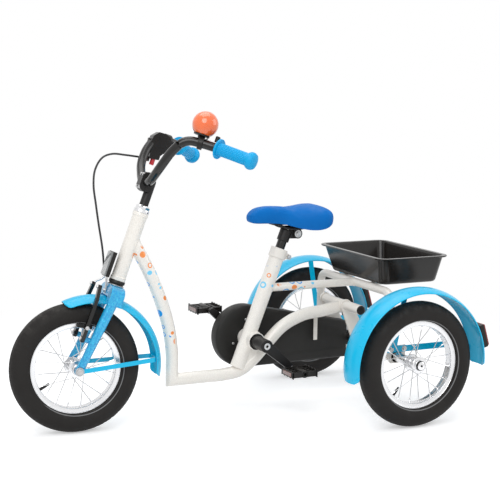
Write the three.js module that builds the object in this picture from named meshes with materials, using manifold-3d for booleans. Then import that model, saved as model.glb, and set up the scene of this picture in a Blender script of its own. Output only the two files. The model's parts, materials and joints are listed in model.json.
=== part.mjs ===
// A child's adaptive tricycle: low step-through frame, one steered wheel in front, two wheels on a rear axle
// that a chain drives, a saddle on a sliding post, swept handlebar grips, fenders and a basket at the back.
// Lengths are in millimetres. X points to the rider's left, Y to the back and Z up.
import * as THREE from "three";
import { mergeVertices } from "three/addons/utils/BufferGeometryUtils.js";
import Module from "manifold-3d";

const wasm = await Module();
wasm.setup();

const degree = Math.PI / 180;
const gap = 0.3; // left between touching pieces
const overrun = 6; // how far a cutter or a buried end runs past the face it meets
const mergeDistance = 1e-4;

// The whole tricycle.
const wheelbase = 782;
const track = 566;
const rake = 20.6 * degree; // the steering axis leans back by this much
const steerAngle = -5.8 * degree; // the front wheel stands turned a little to the right
const forkLength = 231.3; // from the foot of the head tube to the front axle, along the steering axis
const forkOffset = 28.4; // front axle ahead of the steering axis
const crankAngle = 221 * degree; // left crank, from straight ahead, turning up and back

// Wheels.
const wheelSegments = 28;
const loopSegments = 12; // in each turn of the chain and of its case
const ringSegments = 14;
const sixSides = 6;
const tyre = {
  radius: 157.5, halfWidth: 28.5, beadRadius: 102.6, beadHalfWidth: 11.5, wallRadius: 111.8, arcSteps: 6,
};
const rim = { innerRadius: 97, outerRadius: 110, halfWidth: 14.5, flange: 2.6, bedHalfWidth: 11 };
const valve = { radius: 3.2, length: 30, turn: -50 * degree };
const spoke = { radius: 1, perSide: 10, sweep: 13 * degree, rimOffset: 3.5, root: 0.6, sides: 3 };
const hub = { shellRadius: 12, flangeRadius: 21, flangeThickness: 3, spokeInset: 3, segments: 12 };
const frontHub = { halfLength: 42, flangeAt: 27 };
const rearHub = { inner: 78, outer: 21, flangeAt: 18 };
const frontAxle = { radius: 4.8, nutRadius: 9, nutThickness: 6 };
const axle = { radius: 8, headRadius: 12.5, headThickness: 7 };

// Fenders. Their angles are measured round the wheel from straight ahead.
const rearFenderClearance = 34.5;
const rearFender = {
  radius: tyre.radius + rearFenderClearance, halfWidth: 36, crown: 9, thickness: 2.4, fromAngle: -9 * degree,
  toAngle: 185 * degree, steps: 22,
};
// The front fender hugs the tyre ahead and stands off it behind, so its arc has a centre of its own.
const frontFender = {
  ahead: -36.4, up: 14, radius: tyre.radius + 17.5, halfWidth: 31, crown: 15, thickness: 2.4,
  fromAngle: 47 * degree, toAngle: 171 * degree, steps: 15,
};
const bracket = {
  thickness: 3, width: 16, up: 177, aheadEnd: 28, postAhead: 10, postWidth: 14, boltRadius: 5, boltHeight: 4,
  frontBoltAhead: 18, rearBoltAhead: -20,
};
const reflector = { width: 42, height: 60, thickness: 17, turn: 163 * degree };

// Frame.
const tube = {
  main: 16, upper: 10.5, seat: 19, hoop: 10.5, cross: 12.5, rail: 5,
  sides: 10, curveSegments: 5, mainSteps: 18, downSteps: 10,
};
const head = { radius: 18, bore: 14.2, length: 172 };
// Lowest corner of the frame, behind the front tyre.
const cornerClearance = 92.5;
const corner = { ahead: wheelbase - tyre.radius - cornerClearance, up: 103 };
const seatTube = { footAhead: 353, footUp: 118, topAhead: 236, topUp: 419.3 };
const bracketUp = 188;
const bracketShare = (bracketUp - seatTube.footUp) / (seatTube.topUp - seatTube.footUp);
const behindSeatTube = 11.8;
const bottomBracket = {
  ahead: seatTube.footAhead + bracketShare * (seatTube.topAhead - seatTube.footAhead) - behindSeatTube,
  up: bracketUp, radius: 23, bore: 17, halfWidth: 34,
};
const crossTube = { ahead: 50, up: 262, halfLength: 100 };
const stayJoint = 262; // how far ahead the lower stay meets the main tube
const web = { halfThickness: 12.5, firstPoint: 2, lastPoint: 4 }; // fills the corner below the bracket
const upperStayUp = 319;
const housing = {
  radius: 17, clearance: 8, leftStart: 20, rightStart: 86, plateThickness: 6, plateRadius: 24,
};
const housingEnd = track / 2 - rearHub.inner - housing.clearance;
const hoop = { ahead: 12, inset: 15, bendRadius: 34, bendSteps: 5 };
const hoopHalfWidth = housingEnd - hoop.inset;
const rail = { apart: 140, length: 150 };
const lug = { thickness: 4, aheadReach: 32, backReach: 26, up: 186 };

// Drive.
const chainLine = 54; // right of the middle
const chain = { pitch: 12.7, halfHeight: 4, halfWidth: 3.5 };
const chainring = { teeth: 36, thickness: 4, toothHeight: 6 };
const sprocket = { teeth: 16, thickness: 4, toothHeight: 5, bossRadius: 19, bossHalfLength: 15 };
const spindle = { radius: 8.4, halfLength: 92 };
const bearingUnit = { bore: 9.2 };
function pitchRadius(teeth) {
  return (teeth * chain.pitch) / (2 * Math.PI);
}
const frontCaseClearance = 5.2;
const rearCaseClearance = 13.7;
const chainCase = {
  frontRadius: pitchRadius(chainring.teeth) + chain.halfHeight + frontCaseClearance,
  rearRadius: pitchRadius(sprocket.teeth) + chain.halfHeight + rearCaseClearance,
  rearAhead: 8, cutAhead: 13, depth: 40, wall: 2, hole: 11,
};
const crank = {
  length: 95, thickness: 12, outer: 94, bigRadius: 14, smallRadius: 8.5, pinRadius: 5.5, bossRadius: 16.4,
  bossClearance: 1.5,
};
const pedal = {
  inner: 101, width: 62, length: 70, height: 20, wall: 4, core: 9.5, bore: 5.9, teeth: 4, toothHeight: 3,
};

// Seat.
const post = { radius: 12, depth: 120, rise: 51, travel: 19 };
const collar = {
  radius: 23, length: 26, lugLength: 14, lugWidth: 18, lugHeight: 16, boltRadius: 4.5, boltLength: 26,
};
const tilt = { ahead: 190, up: 456, discRadius: 12.5, pinRadius: 4, lugHalfWidth: 8, cheek: 4, sleeve: 15.5 };
const saddle = {
  noseAhead: 328, length: 222, halfWidth: 75, topUp: 529.5, seatUp: 486, skirtUp: 460, inset: 9,
};
const saddleBase = { thickness: 4.5, railRadius: 3.5, railApart: 42, railUp: 471, railSides: 6 };

// Steering, measured from the foot of the head tube along the steering axis.
const steerer = { radius: 12.6, bore: 11.4, boreFrom: 40, top: 189 };
const lowerCup = { radius: 20, height: 13 };
const upperCup = { radius: 19.5, height: 18, rimHeight: 8, topRadius: 15 };
const crown = {
  halfWidth: 59, topHalfWidth: 24, topUp: -13.6, shoulder: 18, legHalfWidth: 25, back: 15, front: 19,
};
const leg = {
  topLeft: 47, topAhead: 3, topUp: -40, footAhead: 26, footUp: -214,
  topRadius: 12.5, footRadius: 9.5, eyeRadius: 11, thickness: 6, eyeGap: 7,
};
const boss = { left: 42, up: -156, radius: 7, face: 40, pinRadius: 3.4, headRadius: 6.5, headThickness: 3.5 };
const brakeArm = {
  thickness: 8.5, elbowLeft: 46, elbowUp: -58, topLeft: 34, topUp: -28, footRadius: 9, topRadius: 6,
};
const pad = { length: 36, height: 9, thickness: 8.5, fromRim: 1.6, radius: 104.5, studRadius: 3 };
const cableGuide = {
  radius: 2.6, steps: 6, sides: 6, path: [[-34, 44, -28], [-33, 41, -20], [-29, 33, -12], [-27, 28, -5]],
};
const stay = {
  thickness: 2, width: 11, eyeRadius: 9, straight: 16, turn: 156.4 * degree,
  bridgeShare: 0.88, insideGap: 3.6,
};
const frontReflector = {
  width: 44, height: 62, thickness: 13, ahead: 34, up: 31,
  strapWidth: 13, strapThickness: 2.5, overFender: 3.3, strapBend: -28, boltRadius: 4.3, boltHeight: 6.5,
};
const clamp = { ahead: 15, up: 246, radius: 15.5, rise: 9, halfWidth: 17, boltHead: 4, boltApart: 20 };
const quill = { radius: 11, bottom: 70, boltRadius: 5, boltHeight: 5 };
const bar = {
  radius: 11, sides: 10, bend: 18, bendSteps: 2,
  halfPath: [
    [36, 15, 246], [91, 17, 288], [114, 10, 332], [125, -9, 366], [147, -67, 370], [220, -137, 364.4],
  ],
};
const grip = {
  inset: 18, length: 91, radius: 15.4, flange: 24, flangeWidth: 5,
  ballRadius: 21, ballLength: 16, ballEndShare: 0.72,
};
const leverHousing = {
  share: 0.5, ringLength: 18, ringRadius: 16.5, leftFace: -108, thickness: 34, ferruleRadius: 4,
  ferrule: { from: [-118, -12, 309], to: [-118, 19, 304.2] },
  // distances ahead of the axis and up along it
  outline: [
    [-7.6, 380], [4, 367], [6, 349], [0, 329], [-4, 309], [-29, 313], [-29, 324], [-34, 331], [-44, 340],
    [-49, 358], [-40, 376], [-24, 381],
  ],
};
const lever = {
  pivot: [-150, -2, 351], height: 10.6, cheek: 3.5, bossRadius: 8, eyeRadius: 7, pinRadius: 2.8,
  bladeRadius: 5, tipRadius: 5, steps: 7, sides: 8,
  path: [[-150, -2, 351], [-168, -16, 350], [-181, -33, 349], [-202, -58, 348.5], [-231, -88, 348]],
};
const parkButton = { place: [-117, -16, 300], radius: 6, height: 4, depth: 12, travel: 3.5 };
const bell = {
  share: 0.56, ringLength: 12, ringRadius: 15.5, place: [130, -40, 414],
  radius: 31, wall: 2, bottomShare: 0.78,
  discThickness: 4, postRadius: 9, steps: 6, thumbPivot: [130, -56], thumbEnd: [143, -76], thumbThickness: 3,
  thumbPin: 2, thumbRadius: 5, thumbEndRadius: 6, thumbHeight: 12,
};
const cable = {
  radius: 2.5, steps: 32, sides: 6,
  path: [
    [-118, 20.6, 304], [-100, 59.5, 295.5], [-80, 96.1, 285.6], [-62, 120.5, 267], [-45, 130.9, 233.1],
    [-36, 124.3, 197.6], [-31, 103.7, 154.1], [-29, 81.5, 111], [-28, 52.5, 57.1], [-27, 33, 12],
    [-27, 28.6, -2.4],
  ],
};

// Basket.
const basket = {
  topWidth: 315, topLength: 195, topAhead: -71.5, topUp: 402, width: 272, length: 168, ahead: -76,
  wall: 3, lip: 10, lipHeight: 5, cornerRadius: 22, cornerSteps: 4,
};

// Building blocks. Each one returns a solid that can be joined to others and cut by them.
function solid(geometry) {
  const plain = geometry.index ? geometry.toNonIndexed() : geometry.clone();
  for (const name of Object.keys(plain.attributes)) if (name !== "position") plain.deleteAttribute(name);
  const merged = mergeVertices(plain, mergeDistance);
  const vertProperties = merged.attributes.position.array;
  const corners = [];
  for (let i = 0; i < merged.index.count; i += 3) {
    const [a, b, c] = [merged.index.getX(i), merged.index.getX(i + 1), merged.index.getX(i + 2)];
    if (a !== b && b !== c && c !== a) corners.push(a, b, c);
  }
  const wrap = (triVerts) => new wasm.Manifold(new wasm.Mesh({ numProp: 3, vertProperties, triVerts }));
  const made = wrap(new Uint32Array(corners));
  return made.volume() >= 0 ? made : wrap(new Uint32Array(corners.reverse()));
}

function geometryOf(made) {
  const mesh = made.getMesh();
  const geometry = new THREE.BufferGeometry();
  const places = new Float32Array(mesh.vertProperties);
  geometry.setAttribute("position", new THREE.BufferAttribute(places, mesh.numProp));
  geometry.setIndex(new THREE.BufferAttribute(new Uint32Array(mesh.triVerts), 1));
  const faceted = geometry.toNonIndexed();
  faceted.computeVertexNormals();
  return faceted;
}

function join(...made) {
  return made.reduce((whole, next) => whole.add(next));
}

// A place given as distances to the left, ahead and up.
function at(left, ahead, up) {
  return new THREE.Vector3(left, -ahead, up);
}

// The turn from three's own lathe axis to a direction.
const latheAxis = new THREE.Vector3(0, 1, 0);
function turnTo(direction) {
  return new THREE.Quaternion().setFromUnitVectors(latheAxis, direction.clone().normalize());
}

function rod(from, to, radius, endRadius = radius, sides = tube.sides) {
  const along = to.clone().sub(from);
  const geometry = new THREE.CylinderGeometry(endRadius, radius, along.length(), sides);
  geometry.applyQuaternion(turnTo(along));
  const middle = from.clone().add(to).multiplyScalar(0.5);
  return solid(geometry.translate(middle.x, middle.y, middle.z));
}

// A rod across the tricycle, from one distance left of the middle to another.
function crossRod(fromLeft, toLeft, ahead, up, radius, sides) {
  return rod(at(fromLeft, ahead, up), at(toLeft, ahead, up), radius, radius, sides);
}

// A bore is cut with flat sides, so it is widened until they clear the round shaft that runs in it.
function runningBore(shaftRadius, sides = tube.sides) {
  return (shaftRadius + gap) / Math.cos(Math.PI / sides);
}

// The same rod, run past both ends, to cut a bore.
function boreBetween(from, to, radius, sides) {
  const reach = to.clone().sub(from).normalize().multiplyScalar(overrun);
  return rod(from.clone().sub(reach), to.clone().add(reach), radius, radius, sides);
}

function ring(from, to, outer, inner, sides) {
  return rod(from, to, outer, outer, sides).subtract(boreBetween(from, to, inner, sides));
}

function block(width, length, height, centre, leanBack = 0) {
  const geometry = new THREE.BoxGeometry(width, length, height).rotateX(-leanBack);
  return solid(geometry.translate(centre.x, centre.y, centre.z));
}

// A flat strip between two places, with its thin side across the tricycle.
function strip(from, to, width, thickness) {
  const along = to.clone().sub(from);
  const geometry = new THREE.BoxGeometry(thickness, along.length(), width);
  const middle = from.clone().add(to).multiplyScalar(0.5);
  along.normalize();
  const side = new THREE.Vector3(1, 0, 0).addScaledVector(along, -along.x).normalize();
  const up = side.clone().cross(along);
  geometry.applyMatrix4(new THREE.Matrix4().makeBasis(side, along, up));
  return solid(geometry.translate(middle.x, middle.y, middle.z));
}

// A profile of [radius, distance along the axis], turned round an axis from a place in a direction.
const acrossLeft = new THREE.Vector3(1, 0, 0);
function turned(profile, place = at(0, 0, 0), direction = acrossLeft, segments = wheelSegments) {
  const points = profile.map(([radius, along]) => new THREE.Vector2(radius, along));
  if (profile[0][0] !== 0) points.push(points[0].clone());
  const geometry = new THREE.LatheGeometry(points, segments).applyQuaternion(turnTo(direction));
  return solid(geometry.translate(place.x, place.y, place.z));
}

// A solid through rings with the same number of points each, closed by a flat cap at either end.
function roundCap(ring) {
  return Array.from({ length: ring.length - 2 }, (_, i) => [0, i + 1, i + 2]);
}

function loft(rings, capOf = roundCap) {
  const count = rings[0].length;
  const positions = rings.flat().flatMap((point) => point.toArray());
  const faces = [];
  for (let r = 0; r + 1 < rings.length; r++) {
    for (let i = 0; i < count; i++) {
      const [a, b] = [r * count + i, r * count + ((i + 1) % count)];
      faces.push(a, b, b + count, a, b + count, a + count);
    }
  }
  const last = (rings.length - 1) * count;
  for (const [a, b, c] of capOf(rings[0])) faces.push(a, c, b);
  for (const [a, b, c] of capOf(rings.at(-1))) faces.push(last + a, last + b, last + c);
  const geometry = new THREE.BufferGeometry();
  geometry.setAttribute("position", new THREE.Float32BufferAttribute(positions, 3));
  geometry.setIndex(faces);
  return solid(geometry);
}

// A tube through given places, mitred at each one, so that a straight run takes one step.
function tubeThrough(places, radius, sides = tube.sides) {
  const directions = places.slice(1).map((place, i) => place.clone().sub(places[i]).normalize());
  const turn = new THREE.Quaternion().setFromUnitVectors(new THREE.Vector3(0, 0, 1), directions[0]);
  const first = [];
  for (let i = 0; i < sides; i++) {
    const angle = (2 * Math.PI * i) / sides;
    const point = new THREE.Vector3(Math.cos(angle), Math.sin(angle), 0).multiplyScalar(radius);
    first.push(point.applyQuaternion(turn).add(places[0]));
  }
  const rings = [first];
  directions.forEach((along, i) => {
    const normal = along.clone().add(directions[i + 1] ?? along).normalize();
    const slide = (point) => normal.dot(places[i + 1].clone().sub(point)) / normal.dot(along);
    rings.push(rings[i].map((point) => point.clone().addScaledVector(along, slide(point))));
  });
  return loft(rings);
}

function curveThrough(points, steps) {
  return new THREE.CatmullRomCurve3(points, false, "centripetal").getSpacedPoints(steps);
}

// The places along straight runs with round bends at their inner points.
function bentPlaces(points, bend, bendSteps) {
  const places = [points[0]];
  for (let i = 1; i + 1 < points.length; i++) {
    const toward = (other) => other.clone().sub(points[i]).clampLength(0, bend).add(points[i]);
    const curve = new THREE.QuadraticBezierCurve3(toward(points[i - 1]), points[i], toward(points[i + 1]));
    places.push(...curve.getPoints(bendSteps));
  }
  places.push(points.at(-1));
  return places;
}

// A flat outline given a depth.
function flatPlate(outline, depth, curveSegments = tube.curveSegments) {
  return new THREE.ExtrudeGeometry(outline, { depth, bevelEnabled: false, curveSegments });
}

// A plate that stands upright and fore and aft. Its outline is in distances ahead and up.
function plate(outline, leftFace, thickness, curveSegments) {
  const geometry = flatPlate(outline, thickness, curveSegments);
  const basis = new THREE.Matrix4().makeBasis(at(0, 1, 0), at(0, 0, 1), at(-1, 0, 0));
  return solid(geometry.applyMatrix4(basis).translate(leftFace, 0, 0));
}

// A plate that stands upright and across. Its outline is in distances left and up.
function crossPlate(outline, frontFace, thickness) {
  const basis = new THREE.Matrix4().makeBasis(at(1, 0, 0), at(0, 0, 1), at(0, 1, 0));
  return solid(flatPlate(outline, thickness).applyMatrix4(basis).translate(0, thickness - frontFace, 0));
}

// The outline round two circles and their outer tangents.
function linkOutline([ax, ay], radiusA, [bx, by], radiusB) {
  const direction = Math.atan2(by - ay, bx - ax);
  const tangent = Math.acos((radiusA - radiusB) / Math.hypot(bx - ax, by - ay));
  const outline = new THREE.Shape();
  outline.absarc(ax, ay, radiusA, direction + tangent, direction - tangent + 2 * Math.PI);
  outline.absarc(bx, by, radiusB, direction - tangent, direction + tangent);
  return outline;
}

function polygon(points) {
  return new THREE.Shape(points.map(([x, y]) => new THREE.Vector2(x, y)));
}

function finish(color, roughness, metalness) {
  return () => new THREE.MeshStandardMaterial({ color, roughness, metalness });
}

const finishes = {
  cream: finish(0xece4d6, 0.3, 0.1),
  blue: finish(0x18a8e8, 0.25, 0.1),
  glitterBlue: finish(0x2a5f9e, 0.35, 0.4),
  black: finish(0x1b1a19, 0.45, 0.1),
  rubber: finish(0x2b2928, 0.85, 0),
  silver: finish(0xc9cacb, 0.25, 0.9),
  chrome: finish(0xdcdcdc, 0.12, 1),
  gripBlue: finish(0x2fb4e6, 0.55, 0),
  saddleBlue: finish(0x3a8ccb, 0.5, 0),
  red: finish(0xc22a24, 0.4, 0),
  orange: finish(0xf26a2e, 0.35, 0),
  clear: finish(0xd9dadb, 0.2, 0.1),
};

const tricycle = new THREE.Group();
const onGround = new THREE.Group(); // its zero lies on the ground under the middle of the rear axle
tricycle.add(onGround);

function piece(name, made, look, parent = onGround) {
  const mesh = new THREE.Mesh(geometryOf(made), look());
  mesh.name = name;
  parent.add(mesh);
}

const axleUp = tyre.radius;
const foot = {
  ahead: wheelbase - forkLength * Math.sin(rake) - forkOffset * Math.cos(rake),
  up: axleUp + forkLength * Math.cos(rake) - forkOffset * Math.sin(rake),
};

function onHeadTube(along) {
  return at(0, foot.ahead - along * Math.sin(rake), foot.up + along * Math.cos(rake));
}

// Points in the middle plane, given as shares of the way from one place to another.
function route(shares, start, end) {
  return shares.map(([aheadShare, upShare]) =>
    at(0, start.ahead + aheadShare * (end.ahead - start.ahead), start.up + upShare * (end.up - start.up)),
  );
}

// Frame: a down tube with a sharp mitred corner, and one long bent tube that runs back as the lower stay.
const downTopShare = 0.61;
const downShares = [
  [1, 1], [0.85, 0.92], [0.63, 0.8], [0.39, 0.645], [0.18, 0.47], [0.055, 0.32], [0, 0.17], [0, 0.1],
];
const mainShares = [
  [0.2, 0], [0.29, 0], [0.39, 0.05], [0.47, 0.23], [0.545, 0.47], [0.64, 0.74], [0.76, 0.9], [0.88, 0.945],
  [1, 1],
];

function mainPoints() {
  return route(mainShares, corner, { ahead: crossTube.ahead, up: crossTube.up - tube.cross / 2 });
}

function mainTube() {
  const downTop = onHeadTube(head.length * downTopShare);
  const downPoints = route(downShares, corner, { ahead: -downTop.y, up: downTop.z });
  const down = curveThrough(downPoints, tube.downSteps);
  const back = curveThrough(mainPoints(), tube.mainSteps);
  return tubeThrough([...down, at(0, corner.ahead, corner.up), ...back], tube.main);
}

const seatFoot = at(0, seatTube.footAhead, seatTube.footUp);
const seatTop = at(0, seatTube.topAhead, seatTube.topUp);
const seatAxis = seatTop.clone().sub(seatFoot).normalize();
function onSeatTube(beyondTop) {
  return seatTop.clone().addScaledVector(seatAxis, beyondTop);
}

function buildFrame() {
  const main = mainTube();
  const { ahead, up, radius, bore, halfWidth } = bottomBracket;
  const headTube = rod(onHeadTube(0), onHeadTube(head.length), head.radius);
  const shell = crossRod(-halfWidth, halfWidth, ahead, up, radius);
  const frontMain = main.trimByPlane([0, -1, 0], stayJoint + gap / 2);
  const webFoot = mainPoints().slice(web.firstPoint, web.lastPoint + 1).map(({ y, z }) => [-y, z]);
  const webCorners = [[ahead, up], [seatTube.footAhead, seatTube.footUp], ...webFoot];
  const webOutline = polygon(webCorners);
  const webPlate = plate(webOutline, web.halfThickness, 2 * web.halfThickness);
  const welded = join(headTube, frontMain, rod(seatFoot, seatTop, tube.seat), shell, webPlate);
  const headBore = boreBetween(onHeadTube(0), onHeadTube(head.length), head.bore);
  const boreFoot = onSeatTube(-post.depth - post.travel - overrun);
  const postBore = rod(boreFoot, onSeatTube(overrun), post.radius + gap);
  const shellBore = boreBetween(at(-halfWidth, ahead, up), at(halfWidth, ahead, up), bore);
  piece("main_frame", welded.subtract(headBore).subtract(postBore).subtract(shellBore), finishes.cream);

  const { halfLength } = crossTube;
  const crossCutter = crossRod(-halfLength, halfLength, crossTube.ahead, crossTube.up, tube.cross + gap);
  const lowerStay = main.trimByPlane([0, 1, 0], gap / 2 - stayJoint).subtract(crossCutter);
  const seatCutter = rod(seatFoot, seatTop, tube.seat + gap);
  const shellCutter = crossRod(-halfWidth, halfWidth, ahead, up, radius + gap);
  piece("lower_stay", lowerStay.subtract(seatCutter).subtract(shellCutter), finishes.cream);

  const hoopCutter = crossRod(-hoopHalfWidth, hoopHalfWidth, hoop.ahead, upperStayUp, tube.hoop + gap);
  const upperStay = rod(at(0, seatTube.footAhead, upperStayUp), at(0, hoop.ahead, upperStayUp), tube.upper);
  const frontCut = -(seatTube.topAhead + tube.seat + overrun);
  const behindSeat = upperStay.subtract(seatCutter).trimByPlane([0, 1, 0], frontCut);
  piece("upper_stay", behindSeat.subtract(hoopCutter), finishes.cream);
}

// The carrier hoop stands on both ends of the axle housing and crosses under the basket.
function buildCarrier() {
  const footUp = axleUp + housing.radius - overrun;
  const [leftFoot, rightFoot] = [1, -1].map((side) => at(side * hoopHalfWidth, hoop.ahead, footUp));
  const [leftTop, rightTop] = [1, -1].map((side) => at(side * hoopHalfWidth, hoop.ahead, upperStayUp));
  const places = bentPlaces([leftFoot, leftTop, rightTop, rightFoot], hoop.bendRadius, hoop.bendSteps);
  const housingCutter = crossRod(-housingEnd, housingEnd, 0, axleUp, housing.radius + gap);
  let carrier = tubeThrough(places, tube.hoop).subtract(housingCutter).subtract(lugSolid(gap));
  const railUp = upperStayUp + tube.hoop - tube.rail;
  for (const side of [1, -1]) {
    const left = (side * rail.apart) / 2;
    const railEnd = at(left, hoop.ahead - rail.length, railUp);
    carrier = carrier.add(rod(at(left, hoop.ahead, railUp), railEnd, tube.rail));
  }
  piece("carrier_hoop", carrier, finishes.cream);
}

// The end plates of the housing, where the fender brackets are bolted.
function lugSolid(extra = 0) {
  const outline = polygon([
    [lug.aheadReach + extra, lug.up + extra], [-lug.backReach - extra, lug.up + extra],
    [-lug.backReach - extra, axleUp], [-housing.radius, axleUp - housing.radius],
    [housing.radius, axleUp - housing.radius], [lug.aheadReach + extra, axleUp],
  ]);
  const thickness = lug.thickness + 2 * extra;
  const left = plate(outline, housingEnd + extra, thickness);
  const right = plate(outline, -housingEnd + lug.thickness + extra, thickness);
  return join(left, right);
}

function buildAxleCarrier() {
  const { ahead, up, halfLength } = crossTube;
  const topRadius = tube.cross + housing.plateThickness / 2;
  const link = linkOutline([ahead, up], topRadius, [0, axleUp], housing.plateRadius);
  const body = join(
    crossRod(-halfLength, halfLength, ahead, up, tube.cross),
    plate(link, housing.leftStart + housing.plateThickness, housing.plateThickness),
    plate(link, -housing.rightStart, housing.plateThickness),
    crossRod(housing.leftStart, housingEnd, 0, axleUp, housing.radius),
    crossRod(-housingEnd, -housing.rightStart, 0, axleUp, housing.radius),
  ).add(lugSolid());
  const bore = boreBetween(at(-housingEnd, 0, axleUp), at(housingEnd, 0, axleUp), runningBore(axle.radius));
  piece("axle_carrier", body.subtract(bore), finishes.cream);
}

// Wheels. Each stands round an axis across the tricycle, with its middle at zero.
function tyreSolid() {
  const { beadRadius, beadHalfWidth, wallRadius, halfWidth, arcSteps } = tyre;
  const centre = tyre.radius - halfWidth;
  const start = Math.PI - Math.acos((centre - wallRadius) / halfWidth);
  const profile = [[beadRadius, beadHalfWidth], [wallRadius, beadHalfWidth]];
  for (let i = 0; i <= arcSteps; i++) {
    const angle = start * (1 - (2 * i) / arcSteps);
    profile.push([centre + halfWidth * Math.cos(angle), halfWidth * Math.sin(angle)]);
  }
  profile.push([wallRadius, -beadHalfWidth], [beadRadius, -beadHalfWidth]);
  return turned(profile).add(valveSolid(0));
}

function valveSolid(extra) {
  const direction = at(0, Math.cos(valve.turn), Math.sin(valve.turn));
  const outer = direction.clone().multiplyScalar(tyre.beadRadius + overrun / 2);
  const inner = direction.clone().multiplyScalar(tyre.beadRadius - valve.length);
  return rod(outer, inner, valve.radius + extra, valve.radius + extra, tube.curveSegments);
}

function rimSolid() {
  const seat = tyre.beadRadius - gap;
  const inside = rim.halfWidth - rim.flange;
  const half = [
    [rim.outerRadius, inside], [rim.outerRadius, rim.halfWidth], [rim.innerRadius, rim.bedHalfWidth],
  ];
  const other = half.map(([radius, along]) => [radius, -along]).reverse();
  return turned([[seat, inside], ...half, ...other, [seat, -inside]]).subtract(valveSolid(gap));
}

function hubSolid(inner, outer, flangeAt, boreRadius) {
  const { shellRadius, flangeRadius, flangeThickness, segments } = hub;
  const near = flangeAt - flangeThickness / 2;
  const far = flangeAt + flangeThickness / 2;
  const half = [[shellRadius, near], [flangeRadius, near], [flangeRadius, far], [shellRadius, far]];
  const other = half.map(([radius, along]) => [radius, -along]).reverse();
  const flanges = [...half.slice().reverse(), ...other.slice().reverse()];
  const outline = [
    [boreRadius, outer], [shellRadius, outer], ...flanges, [shellRadius, -inner], [boreRadius, -inner],
  ];
  const shell = turned(outline, at(0, 0, 0), acrossLeft, segments);
  const onFlange = flangeRadius - hub.spokeInset;
  const onRim = rim.innerRadius * Math.cos(Math.PI / wheelSegments) - gap;
  const step = (2 * Math.PI) / spoke.perSide;
  let whole = shell;
  for (const side of [1, -1]) {
    for (let i = 0; i < spoke.perSide; i++) {
      const rimTurn = (i + side / 4) * step;
      const hubTurn = rimTurn + (i % 2 ? spoke.sweep : -spoke.sweep);
      const from = at(side * (near + spoke.root), onFlange * Math.cos(hubTurn), onFlange * Math.sin(hubTurn));
      const to = at(side * spoke.rimOffset, onRim * Math.cos(rimTurn), onRim * Math.sin(rimTurn));
      whole = whole.add(rod(from, to, spoke.radius, spoke.radius, spoke.sides));
    }
  }
  return whole;
}

function wheel(prefix, suffix, hubShape, parent, place, leanBack = 0) {
  const group = new THREE.Group();
  group.position.copy(place);
  group.rotation.x = leanBack;
  parent.add(group);
  piece(`${prefix}_tyre${suffix}`, tyreSolid(), finishes.rubber, group);
  piece(`${prefix}_rim${suffix}`, rimSolid(), finishes.silver, group);
  piece(`${prefix}_hub${suffix}`, hubShape, finishes.silver, group);
}

function buildRearWheels() {
  const bore = runningBore(axle.radius, hub.segments);
  const half = track / 2;
  const leftHub = hubSolid(rearHub.inner, rearHub.outer, rearHub.flangeAt, bore);
  const rightHub = hubSolid(rearHub.outer, rearHub.inner, rearHub.flangeAt, bore);
  wheel("rear", "_left", leftHub, onGround, at(half, 0, axleUp));
  wheel("rear", "_right", rightHub, onGround, at(-half, 0, axleUp));
  const end = half + rearHub.outer + gap;
  const shaft = crossRod(-end - axle.headThickness / 2, end, 0, axleUp, axle.radius);
  const headSolid = crossRod(-end - axle.headThickness, -end, 0, axleUp, axle.headRadius);
  piece("drive_axle", shaft.add(headSolid), finishes.silver);
  const { radius, headRadius, headThickness } = axle;
  const capProfile = [
    [0, 0], [headRadius, 0], [headRadius, headThickness / 2], [radius, headThickness], [0, headThickness],
  ];
  const cap = turned(capProfile, at(end + gap, 0, axleUp), acrossLeft, hub.segments);
  piece("hub_cap_left", cap, finishes.black);
}

// Fenders. The section is a shallow crowned strip, and the path an arc round the hub.
class WheelArc extends THREE.Curve {
  constructor(centre, radius, fromAngle, toAngle) {
    super();
    Object.assign(this, { centre, radius, fromAngle, toAngle });
  }
  getPoint(share, target = new THREE.Vector3()) {
    const angle = this.fromAngle + (this.toAngle - this.fromAngle) * share;
    const ahead = this.radius * Math.cos(angle);
    return target.copy(at(0, ahead, this.radius * Math.sin(angle))).add(this.centre);
  }
}

const sheetSteps = 4;
function fenderSolid(centre, sizes) {
  const { radius, halfWidth, crown: rise, thickness, fromAngle, toAngle, steps } = sizes;
  const inside = [];
  const outside = [];
  for (let i = 0; i <= sheetSteps; i++) {
    const share = (2 * i) / sheetSteps - 1;
    outside.push([share * halfWidth, -rise * share * share]);
    inside.unshift([share * (halfWidth - thickness / 2), -rise * share * share - thickness]);
  }
  const extrudePath = new WheelArc(centre, radius, fromAngle, toAngle);
  return solid(new THREE.ExtrudeGeometry(polygon([...outside, ...inside]), { steps, extrudePath }));
}

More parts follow.
